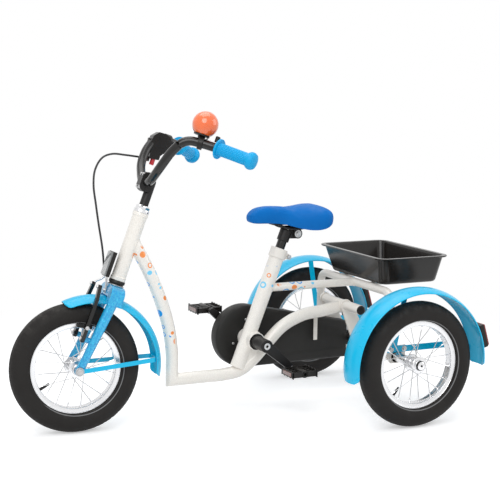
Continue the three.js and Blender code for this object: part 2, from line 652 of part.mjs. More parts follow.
function buildRearFender(side, suffix) {
  const centre = at((side * track) / 2, 0, axleUp);
  const { radius, halfWidth, crown: rise, thickness } = rearFender;
  const edgeRadius = radius - rise - thickness / 2;
  const inner = housingEnd + gap;
  const across = track / 2 - halfWidth + overrun - inner;
  const mid = side * (inner + across / 2);
  const strap = side * (inner + bracket.thickness / 2);
  const backEnd = -Math.sqrt(edgeRadius ** 2 - (bracket.up - axleUp) ** 2);
  const postTop = axleUp + Math.sqrt(edgeRadius ** 2 - bracket.postAhead ** 2);
  const barLength = bracket.aheadEnd - backEnd;
  const face = inner + bracket.thickness;
  const bolts = [bracket.frontBoltAhead, bracket.rearBoltAhead].map((ahead) => {
    const head = face + bracket.boltHeight;
    return crossRod(side * (face - gap), side * head, ahead, bracket.up, bracket.boltRadius, sixSides);
  });
  const barPlace = at(strap, bracket.aheadEnd - barLength / 2, bracket.up);
  const barTurnPlace = at(mid, backEnd + bracket.thickness / 2, bracket.up);
  const postFoot = at(strap, bracket.postAhead, bracket.up);
  const postHead = at(side * (track / 2 - halfWidth + overrun), bracket.postAhead, postTop);
  const whole = join(
    fenderSolid(centre, rearFender),
    block(bracket.thickness, barLength, bracket.width, barPlace),
    block(across, bracket.thickness, bracket.width, barTurnPlace),
    strip(postFoot, postHead, bracket.postWidth, bracket.thickness),
    ...bolts,
  );
  piece(`rear_fender${suffix}`, whole, finishes.blue);

  const { width, height, thickness: depth, turn } = reflector;
  const reach = radius + depth / 2;
  const place = at(centre.x, reach * Math.cos(turn), axleUp + reach * Math.sin(turn));
  const body = block(width, depth + overrun, height, place, turn - Math.PI);
  const [fromLeft, toLeft] = [centre.x - halfWidth, centre.x + halfWidth];
  const crownCutter = crossRod(fromLeft, toLeft, 0, axleUp, radius + gap, 2 * wheelSegments);
  piece(`rear_reflector${suffix}`, body.subtract(crownCutter), finishes.red);
}

// Drive: chainring, chain and rear sprocket in one plane, behind a case that is open at the back.
function gearOutline(teeth, tipRadius, toothHeight) {
  const points = [];
  for (let i = 0; i < teeth; i++) {
    for (const [turnShare, depthShare] of [[-0.1, 0], [0.1, 0], [0.5, 1]]) {
      const angle = ((i + turnShare) / teeth) * 2 * Math.PI;
      const radius = tipRadius - depthShare * toothHeight;
      points.push([radius * Math.cos(angle), radius * Math.sin(angle)]);
    }
  }
  return polygon(points);
}

function gearSolid({ teeth, thickness, toothHeight }, ahead, up) {
  const outline = gearOutline(teeth, pitchRadius(teeth) - chain.halfHeight - gap, toothHeight);
  return plate(outline, -chainLine + thickness / 2, thickness).translate(0, -ahead, up);
}

function buildDrive() {
  const { ahead, up, halfWidth } = bottomBracket;
  const frontRadius = pitchRadius(chainring.teeth);
  const rearRadius = pitchRadius(sprocket.teeth);
  const loop = (extra) => linkOutline([ahead, up], frontRadius + extra, [0, axleUp], rearRadius + extra);
  const chainWidth = 2 * chain.halfWidth;
  const band = plate(loop(chain.halfHeight), -chainLine + chainWidth / 2, chainWidth, loopSegments);
  const inside = plate(loop(-chain.halfHeight), -chainLine + chainWidth, 2 * chainWidth, loopSegments);
  piece("chain", band.subtract(inside), finishes.silver);

  const spindleBore = crossRod(-spindle.halfLength, spindle.halfLength, ahead, up, spindle.radius + gap);
  piece("chainring", gearSolid(chainring, ahead, up).subtract(spindleBore), finishes.silver);

  const { bossRadius, bossHalfLength } = sprocket;
  const bossSolid = crossRod(-chainLine - bossHalfLength, -chainLine + bossHalfLength, 0, axleUp, bossRadius);
  const axleBore = crossRod(-housingEnd, housingEnd, 0, axleUp, runningBore(axle.radius));
  piece("rear_sprocket", gearSolid(sprocket, 0, axleUp).add(bossSolid).subtract(axleBore), finishes.silver);

  const shaft = crossRod(-spindle.halfLength, spindle.halfLength, ahead, up, spindle.radius);
  piece("crank_spindle", shaft, finishes.silver);
  const unitHalf = halfWidth - gap;
  const unitFrom = at(-unitHalf, ahead, up);
  const unit = ring(unitFrom, at(unitHalf, ahead, up), bottomBracket.bore - gap, bearingUnit.bore);
  piece("bottom_bracket_bearing", unit, finishes.silver);

  const { frontRadius: big, rearRadius: small, rearAhead, cutAhead, depth, wall, hole } = chainCase;
  const caseLeft = -halfWidth - gap;
  const shellOutline = (inset) => linkOutline([ahead, up], big - inset, [rearAhead, axleUp], small - inset);
  const outside = plate(shellOutline(0), caseLeft, depth, loopSegments).trimByPlane([0, -1, 0], cutAhead);
  const hollow = plate(shellOutline(wall), caseLeft - wall, depth - 2 * wall, loopSegments);
  const shaftHole = crossRod(caseLeft - depth - overrun, caseLeft + overrun, ahead, up, hole);
  piece("chain_case", outside.subtract(hollow).subtract(shaftHole), finishes.black);
}

// Cranks and pedals.
function pedalSolid(inner, side, ahead, up) {
  const { width, length, height, wall, core, bore, teeth, toothHeight } = pedal;
  const middle = side * (inner + width / 2);
  const edge = [];
  for (let i = 0; i <= 2 * teeth; i++) {
    const high = height / 2 - (i % 2 ? toothHeight : 0);
    edge.push([((i - teeth) / (2 * teeth)) * width, high]);
  }
  const outline = polygon([...edge, ...edge.map(([left, high]) => [left, -high]).reverse()]);
  const bars = [1, -1].map((end) => {
    const face = (end * (length - wall)) / 2 + wall / 2;
    return crossPlate(outline, face, wall).translate(middle, -ahead, up);
  });
  const ends = [1, -1].map((end) => {
    const left = middle + (end * (width - wall)) / 2;
    return block(wall, length, height - 2 * toothHeight, at(left, ahead, up));
  });
  const web = block(width, length, wall, at(middle, ahead, up));
  const tubeHalf = width / 2;
  const barrel = crossRod(middle - tubeHalf, middle + tubeHalf, ahead, up, core);
  const whole = join(web, barrel, ...bars, ...ends);
  return whole.subtract(crossRod(middle - width, middle + width, ahead, up, bore));
}

function buildCrank(side, suffix, angle) {
  const { ahead, up } = bottomBracket;
  const { length, thickness, outer, bigRadius, smallRadius, pinRadius, bossRadius, bossClearance } = crank;
  const pinAhead = ahead + length * Math.cos(angle);
  const pinUp = up + length * Math.sin(angle);
  const outline = linkOutline([ahead, up], bigRadius, [pinAhead, pinUp], smallRadius);
  const arm = plate(outline, side > 0 ? outer : -(outer - thickness), thickness);
  const pinEnd = pedal.inner + pedal.width;
  const pin = crossRod(side * (outer - gap), side * pinEnd, pinAhead, pinUp, pinRadius);
  const bore = crossRod(-2 * outer, 2 * outer, ahead, up, spindle.radius + gap);
  const besideCase = bottomBracket.halfWidth + gap + chainCase.depth;
  const bossFrom = (side > 0 ? bottomBracket.halfWidth : besideCase) + bossClearance;
  const crankBoss = crossRod(side * bossFrom, side * (outer - gap), ahead, up, bossRadius);
  piece(`crank${suffix}`, join(arm, crankBoss, pin).subtract(bore), finishes.black);
  piece(`pedal${suffix}`, pedalSolid(pedal.inner, side, pinAhead, pinUp), finishes.black);
}

// Seat: sliding post in the seat tube, collar with a bolt, tilting saddle.
function buildSeat() {
  const { rise } = post;
  piece("seat_post", rod(onSeatTube(-post.depth), onSeatTube(rise), post.radius), finishes.black);

  const { radius, length, lugLength, lugWidth, lugHeight, boltRadius, boltLength } = collar;
  const from = onSeatTube(-length);
  const to = onSeatTube(-gap);
  const lean = Math.atan2(seatAxis.y, seatAxis.z);
  const lugPlace = from.clone().add(to).multiplyScalar(0.5).add(at(0, -radius - lugLength / 2 + overrun, 0));
  const lugBlock = block(lugWidth, lugLength, lugHeight, lugPlace, lean);
  const boltReach = at(boltLength / 2, 0, 0);
  const bolt = rod(lugPlace.clone().sub(boltReach), lugPlace.clone().add(boltReach), boltRadius);
  const cut = boreBetween(from, to, tube.seat + gap);
  piece("seat_clamp", join(rod(from, to, radius), lugBlock, bolt).subtract(cut), finishes.cream);

  const sleeveFrom = onSeatTube(rise - 2 * tilt.sleeve);
  const sleeveTo = onSeatTube(rise - gap);
  const sleeve = rod(sleeveFrom, sleeveTo, tilt.sleeve);
  const sleeveMiddle = sleeveFrom.clone().add(sleeveTo).multiplyScalar(0.5);
  const sleevePlace = [-sleeveMiddle.y, sleeveMiddle.z];
  const lugLink = linkOutline(sleevePlace, tilt.sleeve / 2, [tilt.ahead, tilt.up], tilt.discRadius);
  const pinHalf = tilt.lugHalfWidth + tilt.cheek + 2 * gap;
  const pin = crossRod(-pinHalf, pinHalf, tilt.ahead, tilt.up, tilt.pinRadius);
  const postCutter = boreBetween(sleeveFrom, sleeveTo, post.radius + gap);
  const lugPlate = plate(lugLink, tilt.lugHalfWidth, 2 * tilt.lugHalfWidth);
  const clampSolid = join(sleeve, lugPlate).subtract(postCutter);
  piece("saddle_clamp", clampSolid.add(pin), finishes.black);
}

// Saddle: rings from nose to tail, crowned on top, with skirts that hang round a flat seat for the base.
const saddleRings = [
  // share of length, share of half width, top and skirt as shares of the height over the lowest skirt
  [0, 0.16, 0.66, 0.5], [0.03, 0.24, 0.8, 0.42], [0.1, 0.28, 0.94, 0.38], [0.22, 0.3, 1, 0.36],
  [0.36, 0.35, 0.98, 0.31], [0.48, 0.46, 0.935, 0.2], [0.58, 0.62, 0.945, 0.08], [0.68, 0.8, 0.98, 0],
  [0.78, 0.94, 1, 0], [0.87, 1, 0.985, 0.1], [0.94, 0.92, 0.9, 0.27], [0.985, 0.72, 0.74, 0.42],
  [1, 0.5, 0.62, 0.49],
];
const crownSteps = 12; // from one side of a ring over its top to the other
const crownPower = 0.62;

function saddleRing([lengthShare, widthShare, topShare, skirtShare]) {
  const rise = saddle.topUp - saddle.skirtUp;
  const ahead = saddle.noseAhead - lengthShare * saddle.length;
  const width = widthShare * saddle.halfWidth;
  const skirt = saddle.skirtUp + skirtShare * rise;
  const top = saddle.skirtUp + topShare * rise;
  const seat = Math.max(saddle.seatUp, skirt);
  const middle = (skirt + top) / 2;
  const points = [];
  for (let i = 0; i <= crownSteps; i++) {
    const angle = (Math.PI * i) / crownSteps;
    const across = Math.sign(Math.cos(angle)) * Math.abs(Math.cos(angle)) ** crownPower;
    const lift = Math.max(Math.sin(angle), 0) ** crownPower;
    points.push(at(width * across, ahead, middle + (top - middle) * lift));
  }
  const insideShare = Math.max(1 - saddle.inset / width, 1 / 2);
  points.push(at(-width * insideShare ** (1 / 2), ahead, skirt), at(-width * insideShare, ahead, seat));
  points.push(at(width * insideShare, ahead, seat), at(width * insideShare ** (1 / 2), ahead, skirt));
  return points;
}

function saddleSolid() {
  const cap = (ring) => {
    const outline = ring.map((point) => new THREE.Vector2(point.x, point.z));
    return THREE.ShapeUtils.triangulateShape(outline, []);
  };
  return loft(saddleRings.map(saddleRing), cap);
}

// Places along the saddle are shares of its length from the nose, and across it shares of its half width.
const baseShares = [[0.3, 0.18], [0.42, 0.2], [0.6, 0.42], [0.78, 0.68], [0.88, 0.64]];
const railShares = [0.36, 0.44, 0.72, 0.8];

function buildSaddle() {
  piece("saddle_pad", saddleSolid(), finishes.saddleBlue);
  const alongSaddle = (share) => saddle.noseAhead - share * saddle.length;
  const half = baseShares.map(([lengthShare, widthShare]) => {
    return [widthShare * saddle.halfWidth, -alongSaddle(lengthShare)];
  });
  const outline = polygon([...half, ...half.map(([left, back]) => [-left, back]).reverse()]);
  const sheetUp = saddle.seatUp - gap - saddleBase.thickness;
  const sheet = solid(flatPlate(outline, saddleBase.thickness).translate(0, 0, sheetUp));
  const { railRadius, railApart, railUp } = saddleBase;
  const [nose, front, back, tail] = railShares.map(alongSaddle);
  const baseUp = saddle.seatUp - saddleBase.thickness;
  let base = sheet;
  for (const side of [1, -1]) {
    const left = (side * railApart) / 2;
    const noseLeft = side * 4 * railRadius;
    const path = [
      at(noseLeft, nose, baseUp + gap), at(left, front, railUp), at(left, (front + back) / 2, railUp),
      at(left, back, railUp), at(left, tail, baseUp + gap),
    ];
    base = base.add(tubeThrough(path, railRadius, saddleBase.railSides));
    const cheekLeft = tilt.lugHalfWidth + gap;
    const pivot = [tilt.ahead, tilt.up];
    const cheekOutline = linkOutline(pivot, tilt.discRadius, [tilt.ahead, railUp], railRadius);
    base = base.add(plate(cheekOutline, side > 0 ? cheekLeft + tilt.cheek : -cheekLeft, tilt.cheek));
    const bridgeWidth = railApart / 2 - cheekLeft;
    const bridgePlace = at(side * (cheekLeft + bridgeWidth / 2), tilt.ahead, railUp);
    base = base.add(block(bridgeWidth, 4 * railRadius, railRadius, bridgePlace));
  }
  const bore = crossRod(-railApart, railApart, tilt.ahead, tilt.up, tilt.pinRadius + gap);
  piece("saddle_base", base.subtract(bore), finishes.black);
}

// Steering. Everything that turns with the fork stands in the frame of the steering axis. Its zero is the
// foot of the head tube, and distances are to the left, ahead of the axis and up along it.
const steering = new THREE.Group();
steering.position.copy(onHeadTube(0));
steering.rotation.set(-rake, 0, steerAngle);
onGround.add(steering);

const axleAlong = -forkLength;
const frontHubPlace = at(0, forkOffset, axleAlong);
const fenderTop = axleAlong + frontFender.up + frontFender.radius;
const footLeft = frontHub.halfLength + gap + leg.eyeGap + leg.thickness; // outer face of the fork ends

// A rod on the steering axis.
function upright(from, to, radius, sides = ringSegments) {
  return rod(at(0, 0, from), at(0, 0, to), radius, radius, sides);
}

function buildHeadset() {
  const axis = onHeadTube(head.length).sub(onHeadTube(0));
  const inner = runningBore(steerer.radius, ringSegments);
  const lower = ring(onHeadTube(-lowerCup.height), onHeadTube(-gap), lowerCup.radius, inner, ringSegments);
  piece("headset_cup_lower", lower, finishes.black);
  const { radius, height, rimHeight, topRadius } = upperCup;
  const profile = [[inner, 0], [radius, 0], [radius, rimHeight], [topRadius, height], [inner, height]];
  const upper = turned(profile, onHeadTube(head.length + gap), axis, ringSegments);
  piece("headset_cup_upper", upper, finishes.chrome);
}

function buildFork() {
  const { halfWidth, topHalfWidth, shoulder, legHalfWidth, back, front, topUp } = crown;
  const underside = fenderTop + gap;
  const legInside = leg.topLeft - leg.topRadius;
  const half = [
    [topHalfWidth, topUp], [(topHalfWidth + halfWidth) / 2, topUp - shoulder / 4],
    [halfWidth, topUp - shoulder], [halfWidth, underside - shoulder], [legInside, underside - shoulder],
    [legInside, underside - shoulder / 2], [legHalfWidth, underside],
  ];
  const outline = polygon([...half, ...half.map(([left, up]) => [-left, up]).reverse()]);
  const steererRod = upright((topUp + underside) / 2, steerer.top, steerer.radius);
  let fork = crossPlate(outline, front, front + back).add(steererRod);
  const bossShare = (boss.up - leg.topUp) / (leg.footUp - leg.topUp);
  const bossLegAhead = leg.topAhead + bossShare * (leg.footAhead - leg.topAhead);
  for (const side of [1, -1]) {
    const legTop = at(side * leg.topLeft, leg.topAhead, leg.topUp);
    const legFoot = at(side * (footLeft - leg.thickness / 2), leg.footAhead, leg.footUp);
    const eyeTop = [leg.footAhead, leg.footUp + leg.eyeRadius];
    const eye = linkOutline([forkOffset, axleAlong], leg.eyeRadius, eyeTop, leg.footRadius - gap);
    const bossAt = (ahead) => at(side * boss.left, ahead, boss.up);
    const headFace = boss.face + brakeArm.thickness + 2 * gap;
    fork = join(
      fork,
      rod(legTop, legFoot, leg.topRadius, leg.footRadius),
      plate(eye, side > 0 ? footLeft : -footLeft + leg.thickness, leg.thickness),
      rod(bossAt(bossLegAhead), bossAt(boss.face), boss.radius),
      rod(bossAt(boss.face - gap), bossAt(headFace + gap), boss.pinRadius),
      rod(bossAt(headFace), bossAt(headFace + boss.headThickness), boss.headRadius),
    );
  }
  const quillBore = upright(steerer.boreFrom, steerer.top + overrun, steerer.bore);
  const axleBore = crossRod(-2 * footLeft, 2 * footLeft, forkOffset, axleAlong, frontAxle.radius + gap);
  piece("fork", fork.subtract(quillBore).subtract(axleBore), finishes.glitterBlue, steering);
}

function buildFrontWheel() {
  const bore = frontAxle.radius + gap;
  const shape = hubSolid(frontHub.halfLength, frontHub.halfLength, frontHub.flangeAt, bore);
  wheel("front", "", shape, steering, frontHubPlace, rake);
  const nutFrom = footLeft + 2 * gap + stay.thickness;
  const nutTo = nutFrom + frontAxle.nutThickness;
  let shaft = crossRod(-nutTo - gap, nutTo + gap, forkOffset, axleAlong, frontAxle.radius);
  for (const side of [1, -1]) {
    const [from, to] = [side * nutFrom, side * nutTo];
    shaft = shaft.add(crossRod(from, to, forkOffset, axleAlong, frontAxle.nutRadius, sixSides));
  }
  piece("front_axle", shaft, finishes.silver, steering);
}

// The distance from the hub to the outside of the front fender, in a direction that turns round the hub.
function fenderReach(turn) {
  const { ahead, up, radius } = frontFender;
  const along = ahead * Math.cos(turn) + up * Math.sin(turn);
  const aside = ahead * Math.sin(turn) - up * Math.cos(turn);
  return along + Math.sqrt(radius ** 2 - aside ** 2);
}

function buildFrontFender() {
  const centre = at(0, forkOffset + frontFender.ahead, axleAlong + frontFender.up);
  piece("front_fender", fenderSolid(centre, frontFender), finishes.blue, steering);
  const eyeMiddle = footLeft + gap + stay.thickness / 2;
  const { halfWidth, crown: rise, thickness } = frontFender;
  const bridgeLeft = halfWidth * stay.bridgeShare;
  const insideFender = fenderReach(stay.turn) - thickness - rise * stay.bridgeShare ** 2;
  const underFender = insideFender - stay.insideGap - stay.thickness / 2;
  const place = (left, radius, angle) => {
    return at(left, forkOffset + radius * Math.cos(angle), axleAlong + radius * Math.sin(angle));
  };
  const parts = [];
  for (const side of [1, -1]) {
    const eye = place(side * eyeMiddle, 0, 0);
    const bend = place(side * eyeMiddle, stay.straight, stay.turn);
    const end = place(side * bridgeLeft, underFender + stay.thickness / 2, stay.turn);
    const [eyeFrom, eyeTo] = [footLeft + gap, footLeft + gap + stay.thickness];
    parts.push(
      crossRod(side * eyeFrom, side * eyeTo, forkOffset, axleAlong, stay.eyeRadius),
      strip(eye, bend, stay.width, stay.thickness),
      strip(bend, end, stay.width, stay.thickness),
    );
  }
  const bridgePlace = place(0, underFender, stay.turn);
  const bridgeWidth = 2 * bridgeLeft + stay.thickness;
  parts.push(block(bridgeWidth, stay.thickness, stay.width, bridgePlace, stay.turn - Math.PI));
  const eyeBore = crossRod(-2 * footLeft, 2 * footLeft, forkOffset, axleAlong, frontAxle.radius + gap);
  piece("front_fender_stay", join(...parts).subtract(eyeBore), finishes.blue, steering);
}

function buildFrontReflector() {
  const { width, height, thickness, ahead, up, strapThickness, strapBend } = frontReflector;
  const { strapWidth, boltRadius, boltHeight } = frontReflector;
  const strapFoot = fenderTop + frontReflector.overFender;
  const body = block(width, thickness, height, at(0, ahead, up));
  const strapAhead = crown.front + gap + strapThickness / 2;
  const footPlace = at(0, strapAhead, (strapBend + strapFoot) / 2);
  const foot = block(strapWidth, strapThickness, strapBend - strapFoot, footPlace);
  const bendPlace = at(0, strapAhead, strapBend - strapThickness / 2);
  const reach = strip(bendPlace, at(0, ahead, up), strapThickness, strapWidth);
  const boltPlace = at(0, strapAhead, strapFoot + strapWidth / 2);
  const bolt = rod(boltPlace, boltPlace.clone().add(at(0, boltHeight, 0)), boltRadius);
  piece("front_reflector", join(body, foot, reach, bolt), finishes.clear, steering);
}

// Brake: two arms on the bosses of the fork, each with a pad beside the rim. The right one has a cable guide.
function buildBrakeArm(side, suffix) {
  const pivot = [side * boss.left, boss.up];
  const elbow = [side * brakeArm.elbowLeft, brakeArm.elbowUp];
  const top = [side * brakeArm.topLeft, brakeArm.topUp];
  const frontFace = boss.face + gap + brakeArm.thickness;
  const { thickness, footRadius, topRadius } = brakeArm;
  const upper = crossPlate(linkOutline(elbow, topRadius, top, topRadius - gap), frontFace, thickness);
  const lower = crossPlate(linkOutline(pivot, footRadius, elbow, topRadius), frontFace, thickness);
  const armMiddle = frontFace - thickness / 2;
  const padUp = axleAlong + Math.sqrt(pad.radius ** 2 - (armMiddle - forkOffset) ** 2);
  const padFace = rim.halfWidth + pad.fromRim;
  const padBack = padFace + pad.thickness;
  const onPad = (left) => at(side * left, armMiddle, padUp);
  const onBoss = (ahead) => at(side * boss.left, ahead, boss.up);
  const studCutter = rod(onPad(padFace), onPad(2 * boss.left), pad.studRadius + gap);
  const armBore = rod(onBoss(0), onBoss(2 * frontFace), runningBore(boss.pinRadius));
  let arm = join(upper, lower).subtract(armBore).subtract(studCutter);
  if (side < 0) {
    const path = cableGuide.path.map((point) => at(...point));
    arm = arm.add(tubeThrough(curveThrough(path, cableGuide.steps), cableGuide.radius, cableGuide.sides));
  }
  piece(`brake_arm${suffix}`, arm, finishes.black, steering);

  const turn = Math.atan2(armMiddle - forkOffset, padUp - axleAlong);
  const shoe = block(pad.thickness, pad.length, pad.height, onPad(padFace + pad.thickness / 2), -turn);
  const studEnd = boss.left + footRadius + pad.studRadius;
  const stud = rod(onPad(padBack - gap), onPad(studEnd), pad.studRadius);
  piece(`brake_pad${suffix}`, shoe.add(stud), finishes.rubber, steering);
}

// Stem with a split clamp round the bar.
function buildStem() {
  const { ahead, up, radius, halfWidth, boltHead, boltApart, rise } = clamp;
  const outline = linkOutline([ahead, up - rise], radius, [ahead, up + rise], radius - gap);
  const whole = plate(outline, halfWidth, 2 * halfWidth);
  const barBore = crossRod(-2 * halfWidth, 2 * halfWidth, ahead, up, bar.radius + gap, ringSegments);
  const back = whole.trimByPlane([0, 1, 0], gap / 2 - ahead);
  const front = whole.trimByPlane([0, -1, 0], ahead + gap / 2);
  const quillRod = upright(quill.bottom, up + rise, quill.radius);
  const quillBolt = upright(up, up + rise + quill.boltHeight, quill.boltRadius, sixSides);
  const neckBlock = block(2 * quill.radius, ahead, 2 * (rise + radius / 2), at(0, ahead / 2 - gap, up));
  const neck = neckBlock.trimByPlane([0, 1, 0], gap / 2 - ahead);
  piece("stem", join(back, quillRod, quillBolt, neck).subtract(barBore), finishes.black, steering);
  let cap = front.subtract(barBore);
  for (const side of [1, -1]) {
    for (const high of [1, -1]) {
      const left = (side * boltApart) / 2;
      const boltUp = up + high * (rise + radius / 2);
      const boltFoot = at(left, ahead + radius / 2, boltUp);
      cap = cap.add(rod(boltFoot, at(left, ahead + radius, boltUp), boltHead, boltHead, sixSides));
    }
  }
  piece("stem_cap", cap, finishes.black, steering);
}

function barPoints(side) {
  return bar.halfPath.map(([left, ahead, up]) => at(side * left, ahead, up));
}

function barSolid(extra = 0) {
  const places = bentPlaces([...barPoints(1).reverse(), ...barPoints(-1)], bar.bend, bar.bendSteps);
  return tubeThrough(places, bar.radius + extra, bar.sides);
}

function buildGrip(side, suffix) {
  const [bend, end] = barPoints(side).slice(-2);
  const along = end.clone().sub(bend).normalize();
  const { inset, length, radius, flange, flangeWidth, ballRadius, ballLength, ballEndShare } = grip;
  const bore = runningBore(bar.radius, hub.segments);
  const ballFrom = length - ballLength;
  const boreEnd = end.distanceTo(bend) - inset + gap;
  const profile = [
    [bore, 0], [flange, 0], [flange, flangeWidth], [radius, flangeWidth + gap], [radius, ballFrom],
    [ballRadius, ballFrom + ballLength / 4], [ballRadius, length - ballLength / 4],
    [ballRadius * ballEndShare, length], [0, length], [0, boreEnd], [bore, boreEnd],
  ];
  const start = bend.clone().addScaledVector(along, inset);
  piece(`grip${suffix}`, turned(profile, start, along, hub.segments), finishes.gripBlue, steering);
}

// A ring round the straight run of the bar before the grip, and the place of its middle.
function barRing(side, share, length, radius) {
  const points = barPoints(side);
  const [from, to] = [points.at(-3), points.at(-2)];
  const middle = from.clone().lerp(to, share);
  const half = to.clone().sub(from).setLength(length / 2);
  const round = rod(middle.clone().sub(half), middle.clone().add(half), radius, radius, ringSegments);
  return { middle, round };
}

function buildLever() {
  const { ringLength, ringRadius, outline, leftFace, thickness, ferrule, ferruleRadius } = leverHousing;
  const { round } = barRing(-1, leverHousing.share, ringLength, ringRadius);
  const shell = plate(polygon(outline), leftFace, thickness);
  const ferruleRod = rod(at(...ferrule.from), at(...ferrule.to), ferruleRadius);
  const [pivotLeft, pivotAhead, pivotUp] = lever.pivot;
  const slot = lever.height / 2 + gap;
  const cheekUp = slot + lever.cheek;
  const onPivot = (rise) => at(pivotLeft, pivotAhead, pivotUp + rise);
  const pivotRod = (half, radius) => rod(onPivot(-half), onPivot(half), radius);
  const cheeks = pivotRod(cheekUp, lever.bossRadius);
  const reach = leftFace - pivotLeft;
  const rootPlace = at(pivotLeft + reach / 2, pivotAhead, pivotUp);
  const root = block(reach, 2 * lever.bossRadius, 2 * cheekUp, rootPlace);
  const slotRadius = lever.eyeRadius + 2 * gap;
  const mouthPlace = at(pivotLeft - slotRadius, pivotAhead, pivotUp);
  const mouth = block(2 * slotRadius, 2 * slotRadius + lever.bossRadius, 2 * slot, mouthPlace);
  const pin = pivotRod(slot + gap, lever.pinRadius);
  const [buttonLeft, buttonAhead, buttonUp] = parkButton.place;
  const onButton = (rise) => at(buttonLeft, buttonAhead, buttonUp + rise);
  const socketDepth = parkButton.depth + parkButton.travel;
  const buttonSocket = rod(onButton(0), onButton(socketDepth), runningBore(parkButton.radius));
  const shut = join(round, shell, ferruleRod, cheeks, root);
  const whole = shut.subtract(pivotRod(slot, slotRadius)).subtract(mouth).add(pin);
  piece("lever_housing", whole.subtract(barSolid(gap)).subtract(buttonSocket), finishes.black, steering);

  const blade = lever.path.map((point) => at(...point));
  const bladeSolid = tubeThrough(curveThrough(blade, lever.steps), lever.bladeRadius, lever.sides);
  const eye = pivotRod(lever.height / 2, lever.eyeRadius);
  const [beforeEnd, bladeEnd] = blade.slice(-2);
  const tipEnd = bladeEnd.clone().add(bladeEnd.clone().sub(beforeEnd).setLength(lever.bladeRadius));
  const tip = rod(bladeEnd, tipEnd, lever.tipRadius, lever.bladeRadius);
  const eyeBore = pivotRod(lever.height, runningBore(lever.pinRadius));
  piece("brake_lever", join(bladeSolid, eye, tip).subtract(eyeBore), finishes.black, steering);

  const button = rod(onButton(-parkButton.height), onButton(parkButton.depth), parkButton.radius);
  piece("park_button", button, finishes.red, steering);
}

function buildBell() {
  const { ringLength, ringRadius, share, place, radius, wall, discThickness, postRadius, steps } = bell;
  const { middle, round } = barRing(1, share, ringLength, ringRadius);
  const centre = at(...place);
  const discFrom = centre.clone().add(at(0, 0, -radius * bell.bottomShare - discThickness - gap));
  const discTo = discFrom.clone().add(at(0, 0, discThickness));
  const spread = Math.sqrt(1 - bell.bottomShare ** 2) * radius;
  const [thumbLeft, thumbAhead] = bell.thumbPivot;
  const onThumb = (rise) => at(thumbLeft, thumbAhead, discFrom.z + rise);
  const base = join(
    round,
    rod(middle, discFrom.clone().add(at(0, 0, gap)), postRadius),
    rod(discFrom, discTo, spread, spread, ringSegments),
    rod(onThumb(discThickness), onThumb(-bell.thumbThickness - 2 * gap), bell.thumbPin),
  );
  piece("bell_base", base.subtract(barSolid(gap)), finishes.black, steering);

  const start = -Math.asin(bell.bottomShare);
  const outside = [];
  const inside = [];
  for (let i = 0; i <= steps; i++) {
    const angle = start + ((Math.PI / 2 - start) * i) / steps;
    outside.push([radius * Math.cos(angle), radius * Math.sin(angle)]);
    inside.unshift([(radius - wall) * Math.cos(angle), (radius - wall) * Math.sin(angle)]);
  }
  outside[steps][0] = 0;
  inside[0][0] = 0;
  inside[steps][1] = outside[0][1];
  const dome = turned([...outside, ...inside], centre, at(0, 0, 1), ringSegments);
  piece("bell_dome", dome, finishes.orange, steering);

  const thumbTop = discFrom.z - gap;
  const [endLeft, endAhead] = bell.thumbEnd;
  const { thumbRadius, thumbEndRadius, thumbThickness, thumbHeight } = bell;
  const armOutline = linkOutline(bell.thumbPivot, thumbRadius, bell.thumbEnd, thumbEndRadius);
  const basis = new THREE.Matrix4().makeBasis(at(1, 0, 0), at(0, 1, 0), at(0, 0, -1));
  const flat = solid(flatPlate(armOutline, thumbThickness).applyMatrix4(basis).translate(0, 0, thumbTop));
  const onEnd = (rise) => at(endLeft, endAhead, thumbTop + rise);
  const press = rod(onEnd(-thumbThickness), onEnd(thumbHeight), thumbEndRadius - gap);
  const pinBore = rod(onThumb(-3 * thumbThickness), onThumb(thumbThickness), runningBore(bell.thumbPin));
  piece("bell_thumb", join(flat, press).subtract(pinBore), finishes.silver, steering);
}

function buildCable() {
  const places = curveThrough(cable.path.map((point) => at(...point)), cable.steps);
  piece("brake_cable", tubeThrough(places, cable.radius, cable.sides), finishes.black, steering);
}

// Basket: a tray with sloping sides and a lip, lofted from rounded rectangles.
function roundedRing(halfWidth, halfLength, radius, ahead, up) {
  const points = [];
  for (const [sx, sy] of [[1, 1], [-1, 1], [-1, -1], [1, -1]]) {
    const start = Math.atan2(sy, sx) - Math.PI / 4;
    for (let i = 0; i <= basket.cornerSteps; i++) {
      const angle = start + (i * Math.PI) / (2 * basket.cornerSteps);
      const left = sx * (halfWidth - radius) + radius * Math.cos(angle);
      points.push(at(left, ahead + sy * (halfLength - radius) + radius * Math.sin(angle), up));
    }
  }
  return points;
}

function buildBasket() {
  const { topWidth, topLength, topAhead, topUp, width, length, ahead } = basket;
  const { wall, lip, lipHeight, cornerRadius } = basket;
  const bottomUp = upperStayUp + tube.hoop + gap;
  const under = topUp - lipHeight;
  const rings = [
    roundedRing(width / 2, length / 2, cornerRadius, ahead, bottomUp),
    roundedRing(topWidth / 2 - lip, topLength / 2 - lip, cornerRadius, topAhead, under),
    roundedRing(topWidth / 2, topLength / 2, cornerRadius + lip, topAhead, under),
    roundedRing(topWidth / 2, topLength / 2, cornerRadius + lip, topAhead, topUp),
    roundedRing(topWidth / 2 - lip - wall, topLength / 2 - lip - wall, cornerRadius - wall, topAhead, topUp),
    roundedRing(width / 2 - wall, length / 2 - wall, cornerRadius - wall, ahead, bottomUp + wall),
  ];
  piece("basket", loft(rings), finishes.black);
}

